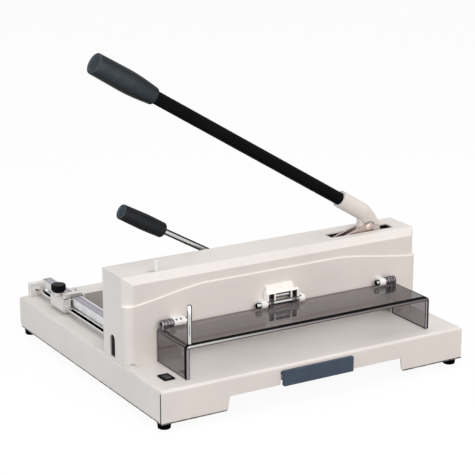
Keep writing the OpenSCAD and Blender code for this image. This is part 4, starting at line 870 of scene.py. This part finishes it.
class CUTTER_OT_base(CutterOperator, bpy.types.Operator):
    """Dress the base, its feet, the drawer and the switch"""

    bl_idname = "cutter.base"
    bl_label = "Base, drawer and switch"

    def execute(self, context):
        details = context.scene.cutter_details
        low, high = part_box("base_shell")
        groove_depth, groove_setback = (0.0003, 0.0016), (0.0015, 0.006)

        # painted shade in the grooves at the front corners
        def in_joint(place, normal, rounded):
            """Within the grooves at the front corners."""
            depth = min(place.x - low.x, high.x - place.x)
            setback = place.y - low.y
            return (groove_depth[0] < depth < groove_depth[1]
                    and groove_setback[0] < setback < groove_setback[1])

        round_off("base_shell", details.fold, finish="base_coat", patches=[("dark_joint", in_joint)])
        for node in ("drawer_front", "switch_bezel"):
            round_off(node, details.moulding)
        round_off("switch_rocker", details.moulding, finish="switch_face")
        round_off("rubber_feet", details.moulding, finish="foot_rubber")
        for node in ("drawer_tray", "cutting_stick"):
            round_off(node, details.machined)
        paint("drawer_runners", "stick_channel")
        return {"FINISHED"}


class CUTTER_OT_housing(CutterOperator, bpy.types.Operator):
    """Dress the housing's cover and panels, its screws and the lock peg"""

    bl_idname = "cutter.housing"
    bl_label = "Housing"

    def execute(self, context):
        details = context.scene.cutter_details
        round_off("top_cover", details.fold)
        round_off("lower_panel", details.fold, finish="panel_coat")
        round_off("rear_panel", details.fold)
        round_off("lock_slider", details.moulding)
        paint("housing_screws", "lock_guide", "line_lamp")
        return {"FINISHED"}


class CUTTER_OT_frame(CutterOperator, bpy.types.Operator):
    """Dress the iron frame, the blade and what drives it inside the housing"""

    bl_idname = "cutter.frame"
    bl_label = "Frame and blade"

    def execute(self, context):
        details = context.scene.cutter_details
        for node in ("left_pillar", "right_pillar", "front_beam", "rear_beam", "blade_carrier"):
            round_off(node, details.machined)
        round_off("link_straps", details.machined, finish="warm_steel")
        paint("beam_bolts", "pivot_bush", "blade", "blade_screws", "guide_rollers", "carrier_pin")
        self.wind_spring(details)
        return {"FINISHED"}

    def wind_spring(self, details):
        """Winds the return spring round the lever's shaft, with a straight leg at either end."""
        low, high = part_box("return_spring")
        wire, turns, steps = details.wire_d, 2.5, 40
        centre = Vector(JOINT["lever_swing"]["pos_m"])
        radius = high.x - wire / 2 - centre.x
        start, end = low.y + wire / 2, high.y - wire / 2
        coil = []
        for i in range(int(turns * steps) + 1):
            angle = 2 * math.pi * i / steps
            along = start + (end - start) * i / (turns * steps)
            coil.append(Vector((centre.x + radius * math.sin(angle), along,
                                centre.z + radius * math.cos(angle))))
        leg = Vector((coil[0].x - low.x, 0.0, 0.0))
        path = [coil[0] - leg] + coil + [coil[-1] - leg]
        curve = bpy.data.curves.new("spring_path", "CURVE")
        curve.dimensions = "3D"
        spline = curve.splines.new("POLY")
        spline.points.add(len(path) - 1)
        for point, place in zip(spline.points, path):
            point.co = (*place, 1.0)
        mesh = grow(wound_wire_tree(), curve, {"Wire": wire, "Sides": details.wire_sides,
                                               "Material": finish_of("spring_steel")}, "wound_spring")
        new_piece("wound_spring", mesh, "base", "return_spring")


class CUTTER_OT_lever(CutterOperator, bpy.types.Operator):
    """Dress the main lever: bracket, tube, grip, shaft and bolt"""

    bl_idname = "cutter.lever"
    bl_label = "Main lever"

    def execute(self, context):
        details = context.scene.cutter_details
        round_off("lever_bracket", details.fold)
        round_off("lever_grip", details.moulding, finish="grip_rubber",
                  patches=[("grip_end", far_end("lever_grip", "lever_swing"))])
        round_off("link_bolt", details.machined, finish="warm_steel")
        round_off("lever_tube", details.machined)
        paint("lever_shaft")
        return {"FINISHED"}


class CUTTER_OT_clamp(CutterOperator, bpy.types.Operator):
    """Dress the clamp and its lever"""

    bl_idname = "cutter.clamp"
    bl_label = "Clamp"

    def execute(self, context):
        details = context.scene.cutter_details
        round_off("clamp_hub", details.fold)
        round_off("clamp_grip", details.moulding,
                  patches=[("grip_end", far_end("clamp_grip", "clamp_lever_swing"))])
        round_off("clamp_rod", details.machined, finish="rimmed_chrome")
        for node in ("clamp_bar", "clamp_yoke", "clamp_crank"):
            round_off(node, details.machined)
        paint("clamp_shaft", "clamp_bush", "clamp_pad", "clamp_guides", "clamp_guide_rods")
        return {"FINISHED"}


class CUTTER_OT_guard(CutterOperator, bpy.types.Operator):
    """Dress the smoked guard, its rod and its hinges"""

    bl_idname = "cutter.guard"
    bl_label = "Guard and hinges"

    def execute(self, context):
        details = context.scene.cutter_details
        self.bend_sheet(details)
        round_off("guard_knuckles", details.machined, finish="smoked_ribs")
        round_off("hinge_barrels", details.machined, finish="white_plastic")
        for node in ("hinge_pins", "guard_rod"):
            round_off(node, details.machined, finish="rimmed_chrome")
        round_off("hood_roller", details.machined)
        self.dress_hood(details)
        self.fit_screws(details)
        return {"FINISHED"}

    def dress_hood(self, details):
        """The hooded bracket, with painted shade within its three cells that open to the front."""
        low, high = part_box("centre_hood")
        end_wall, rim, shelf_depth = 0.0005, 0.001, 0.0128
        shelf = high.z - shelf_depth

        # painted shade inside the hood's cells
        def in_cell(place, normal, rounded):
            between_ends = low.x + end_wall < place.x < high.x - end_wall
            return between_ends and place.z < shelf and place.y > low.y + rim

        round_off("centre_hood", details.moulding, patches=[("dark_joint", in_cell)])

    def bend_sheet(self, details):
        """The clear sheet, with painted shade where it shows its own cut edges, and painted highlight and shade on
        its sawn faces.
        """
        low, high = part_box("guard_sheet")
        front = low.y + details.edge_depth
        middle = (low.x + high.x) / 2
        end_on = 0.99

        # painted shade on the rounded edges and along the front of the sheet
        def dark(place, normal, rounded):
            outer = -normal.x if place.x < middle else 0.0
            return rounded or (place.y < front and max(outer, normal.z) > LEANING)

        def sawn(place, normal, rounded):
            foot = normal.z < -SQUARE_ON and place.z < low.z + details.edge_depth
            return not rounded and (abs(normal.y) > end_on or foot)

        sheet = round_off("guard_sheet", details.polish, cuts=[((0.0, front, 0.0), (0.0, 1.0, 0.0))],
                          patches=[("edge_line", dark), ("cut_acrylic", sawn)])
        sheet.visible_shadow = False

    def fit_screws(self, details):
        """Set screws in the hinge barrels, pointing up and forward, and one in the gauge's bracket."""
        axis = Vector(JOINT["guard_swing"]["pos_m"])
        low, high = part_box("hinge_barrels")
        radius = high.z - axis.z
        rise = 0.0004
        aim, forward = Vector((0.0, -0.55, 0.835)).normalized(), Vector((0.0, -1.0, 0.0))
        left_insets, middle_x = (0.0045, 0.012), 0.0445
        places = [low.x + inset for inset in left_insets] + [middle_x]
        points = [Vector((x, axis.y, axis.z)) + aim * (radius - rise / 2) for x in places]
        bracket, bracket_inset, bracket_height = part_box("gauge_bracket")[0], 0.0105, 0.012
        points.append(bracket + Vector((bracket_inset, -rise / 2, bracket_height)))
        aims = [aim] * len(places) + [forward]
        sizes = {"Diameter": details.screw_d, "Rise": rise, "Material": finish_of("frame_iron")}
        mesh = grow(set_screws_tree(), points_mesh("screw_points", points, aims), sizes, "set_screws")
        new_piece("set_screws", mesh, "base")


class CUTTER_OT_gauge(CutterOperator, bpy.types.Operator):
    """Dress the back gauge and print the ruler's marks"""

    bl_idname = "cutter.gauge"
    bl_label = "Back gauge and ruler"

    def execute(self, context):
        details = context.scene.cutter_details
        round_off("gauge_bracket", details.moulding, finish="gauge_plastic")
        round_off("gauge_knob", details.moulding)
        self.dress_carriage(details)
        # painted shade on the beam's front face
        round_off("gauge_beam", details.machined, patches=[
            ("beam_coat", lambda place, normal, rounded: normal.y < -SQUARE_ON),
        ])
        round_off("gauge_rod", details.machined)
        round_off("side_ruler", details.machined, patches=[
            ("ruler_print", lambda place, normal, rounded: normal.z > SQUARE_ON),
        ])
        self.print_scale(details)
        return {"FINISHED"}

    def dress_carriage(self, details):
        """The carriage, with painted shade within its slit and at the gap beside the ruler."""
        low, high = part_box("gauge_carriage")
        top_height, gap_width, slit_inset, slit_depth = 0.025, 0.003, 0.004, 0.0014
        slit_front, slit_back = low.y + 0.0056, low.y + 0.0104
        slit_left, gap = low.x + slit_inset, high.x - gap_width
        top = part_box("base_shell")[1].z + top_height

        # painted shade in the slit and on a strip of the front face beside the ruler
        def dark(place, normal, rounded):
            in_slit = slit_left < place.x < gap and slit_front < place.y < slit_back
            in_gap = place.x > gap and normal.y < -SQUARE_ON and place.z < top
            return in_gap or (in_slit and abs(place.z - top) < slit_depth)

        sideways, forward = (1.0, 0.0, 0.0), (0.0, 1.0, 0.0)
        round_off("gauge_carriage", details.moulding, finish="gauge_plastic", patches=[("dark_joint", dark)],
                  cuts=[((gap, 0.0, 0.0), sideways), ((0.0, slit_back, 0.0), forward),
                        ((slit_left, 0.0, 0.0), sideways), ((0.0, slit_front, 0.0), forward)])

    def print_scale(self, details):
        """A row of marks along the top of the ruler."""
        low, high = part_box("side_ruler")
        lift, inset, margin = 0.0003, 0.0012, 0.012
        sizes = {
            "Start": (low.x + inset, low.y + margin, high.z),
            "Marks": int((high.y - low.y - 2 * margin) / details.mark_pitch) + 1,
            "Pitch": details.mark_pitch,
            "Width": details.mark_width,
            "Short": details.mark_short,
            "Long": details.mark_long,
            "Lift": lift,
            "Material": finish_of("white_plastic"),
        }
        mesh = grow(scale_marks_tree(), bpy.data.meshes.new("scale_points"), sizes, "ruler_marks")
        new_piece("ruler_marks", mesh, "base")


class CUTTER_OT_studio(CutterOperator, bpy.types.Operator):
    """Set the pale floor, the soft light and the camera"""

    bl_idname = "cutter.studio"
    bl_label = "Studio"

    def execute(self, context):
        studio = context.scene.cutter_studio
        self.lay_floor()
        self.light_room(context.scene, studio)
        self.hang_lamp("key_lamp", studio.key, place=(0.3, -2.8, 1.3), size=2.0, colour=(1.0, 0.905, 0.875))
        self.hang_lamp("side_lamp", studio.side, place=(-2.7, -0.4, 1.2), size=1.8, colour=(0.93, 0.97, 1.0))
        self.hang_lamp("top_lamp", studio.top, place=(0.2, -0.1, 2.4), size=2.4, colour=(0.985, 1.0, 1.0))
        self.hang_card("back_flag", [(-3.4, 2.6, 0.22), (0.4, 2.6, 0.22), (0.4, 2.2, 2.6), (-3.4, 2.2, 2.6)])
        self.hang_card("right_flag", [(2.2, 2.4, -0.1), (3.0, 0.3, -0.1), (3.0, 0.3, 1.0), (2.2, 2.4, 1.0)])
        self.hang_card("front_flag", [(-0.62, -0.62, 0.002), (-0.40, -0.74, 0.002), (-0.95, -2.2, 0.002),
                                      (-1.6, -1.8, 0.002)])
        self.place_camera(context.scene, studio)
        context.scene.view_settings.view_transform = "Standard"
        return {"FINISHED"}

    def lay_floor(self):
        """A pale floor, plain white to the camera apart from a faint shadow."""
        reach, glow_share = 40.0, 0.94
        corners = [(-reach, -reach, 0.0), (reach, -reach, 0.0), (reach, reach, 0.0), (-reach, reach, 0.0)]
        floor, nodes, links, surface = flat_sheet("studio_floor", "studio_floor_paint", corners)
        matt = coloured(nodes, "ShaderNodeBsdfDiffuse", (0.38, 0.38, 0.38))
        pale = coloured(nodes, "ShaderNodeBsdfDiffuse", (0.95, 0.95, 0.95))
        glow = coloured(nodes, "ShaderNodeEmission", (1.0, 1.0, 1.0))
        shown = mixed(nodes, links, glow_share, pale, glow)
        links.new(mixed(nodes, links, seen_rays(nodes, links), matt, shown), surface)

    def light_room(self, scene, studio):
        """Even light from all round; white where the camera, gloss or glass sees it."""
        scene.world = bpy.data.worlds.new("studio_room")
        nodes, links, surface = bare_nodes(scene.world, "ShaderNodeOutputWorld")
        lit = coloured(nodes, "ShaderNodeBackground", (1.0, 0.99, 0.985), studio.sky)
        white = coloured(nodes, "ShaderNodeBackground", (1.0, 1.0, 1.0))
        links.new(mixed(nodes, links, seen_rays(nodes, links), lit, white), surface)

    def hang_lamp(self, name, watts, place, size, colour):
        """A large square lamp that faces the cutter."""
        aim = Vector((0.0, 0.0, 0.1))
        lamp = bpy.data.lights.new(name, "AREA")
        lamp.shape = "SQUARE"
        lamp.size = size
        lamp.energy = watts
        lamp.color = colour
        holder = link_object(name, lamp)
        holder.location = place
        holder.rotation_euler = (aim - Vector(place)).to_track_quat("-Z", "Y").to_euler()

    def hang_card(self, name, corners):
        """A black card that only shows in reflections, for dark lines along bright metal."""
        card, nodes, links, surface = flat_sheet(name, name + "_cloth", corners)
        card.visible_camera = False
        card.visible_diffuse = False
        card.visible_transmission = False
        card.visible_shadow = False
        links.new(coloured(nodes, "ShaderNodeEmission", (0.0, 0.0, 0.0)), surface)

    def place_camera(self, scene, studio):
        """A long lens at the front left, a little above."""
        camera = bpy.data.cameras.new("studio_camera")
        camera.lens = studio.lens
        camera.sensor_width = 36.0
        camera.clip_end = 200.0
        side, rise = studio.azimuth, studio.elevation
        back = Vector((-math.sin(side) * math.cos(rise), -math.cos(side) * math.cos(rise), math.sin(rise)))
        scene.camera = link_object("studio_camera", camera)
        scene.camera.location = Vector(studio.target) + back * studio.distance
        scene.camera.rotation_euler = (-back).to_track_quat("-Z", "Y").to_euler()


class CUTTER_PT_panel(bpy.types.Panel):
    """Lists the steps that dress the cutter"""

    bl_idname = "CUTTER_PT_panel"
    bl_label = "Lever stack cutter"
    bl_space_type = "VIEW_3D"
    bl_region_type = "UI"
    bl_category = "Cutter"

    def draw(self, context):
        for operator in OPERATORS:
            self.layout.operator(operator.bl_idname)
        scene = context.scene
        for group in (scene.cutter_finishes, scene.cutter_details, scene.cutter_studio):
            box = self.layout.box()
            for name in group.bl_rna.properties.keys():
                if name not in ("rna_type", "name"):
                    box.prop(group, name)


GROUPS = (CutterFinishes, CutterDetails, CutterStudio)
OPERATORS = (CUTTER_OT_finishes, CUTTER_OT_base, CUTTER_OT_housing, CUTTER_OT_frame, CUTTER_OT_lever,
             CUTTER_OT_clamp, CUTTER_OT_guard, CUTTER_OT_gauge, CUTTER_OT_studio)


def register():
    """Makes the settings, the operators and the panel known to Blender."""
    for item in (*GROUPS, *OPERATORS, CUTTER_PT_panel):
        bpy.utils.register_class(item)
    bpy.types.Scene.cutter_finishes = PointerProperty(type=CutterFinishes)
    bpy.types.Scene.cutter_details = PointerProperty(type=CutterDetails)
    bpy.types.Scene.cutter_studio = PointerProperty(type=CutterStudio)


def unregister():
    """Takes them away again."""
    for name in ("cutter_finishes", "cutter_details", "cutter_studio"):
        delattr(bpy.types.Scene, name)
    for item in (CUTTER_PT_panel, *reversed(OPERATORS), *reversed(GROUPS)):
        bpy.utils.unregister_class(item)


def main():
    """Dresses the cutter step by step."""
    register()
    for operator in OPERATORS:
        getattr(bpy.ops.cutter, operator.bl_idname.removeprefix("cutter."))()


if __name__ == "__main__":
    main()
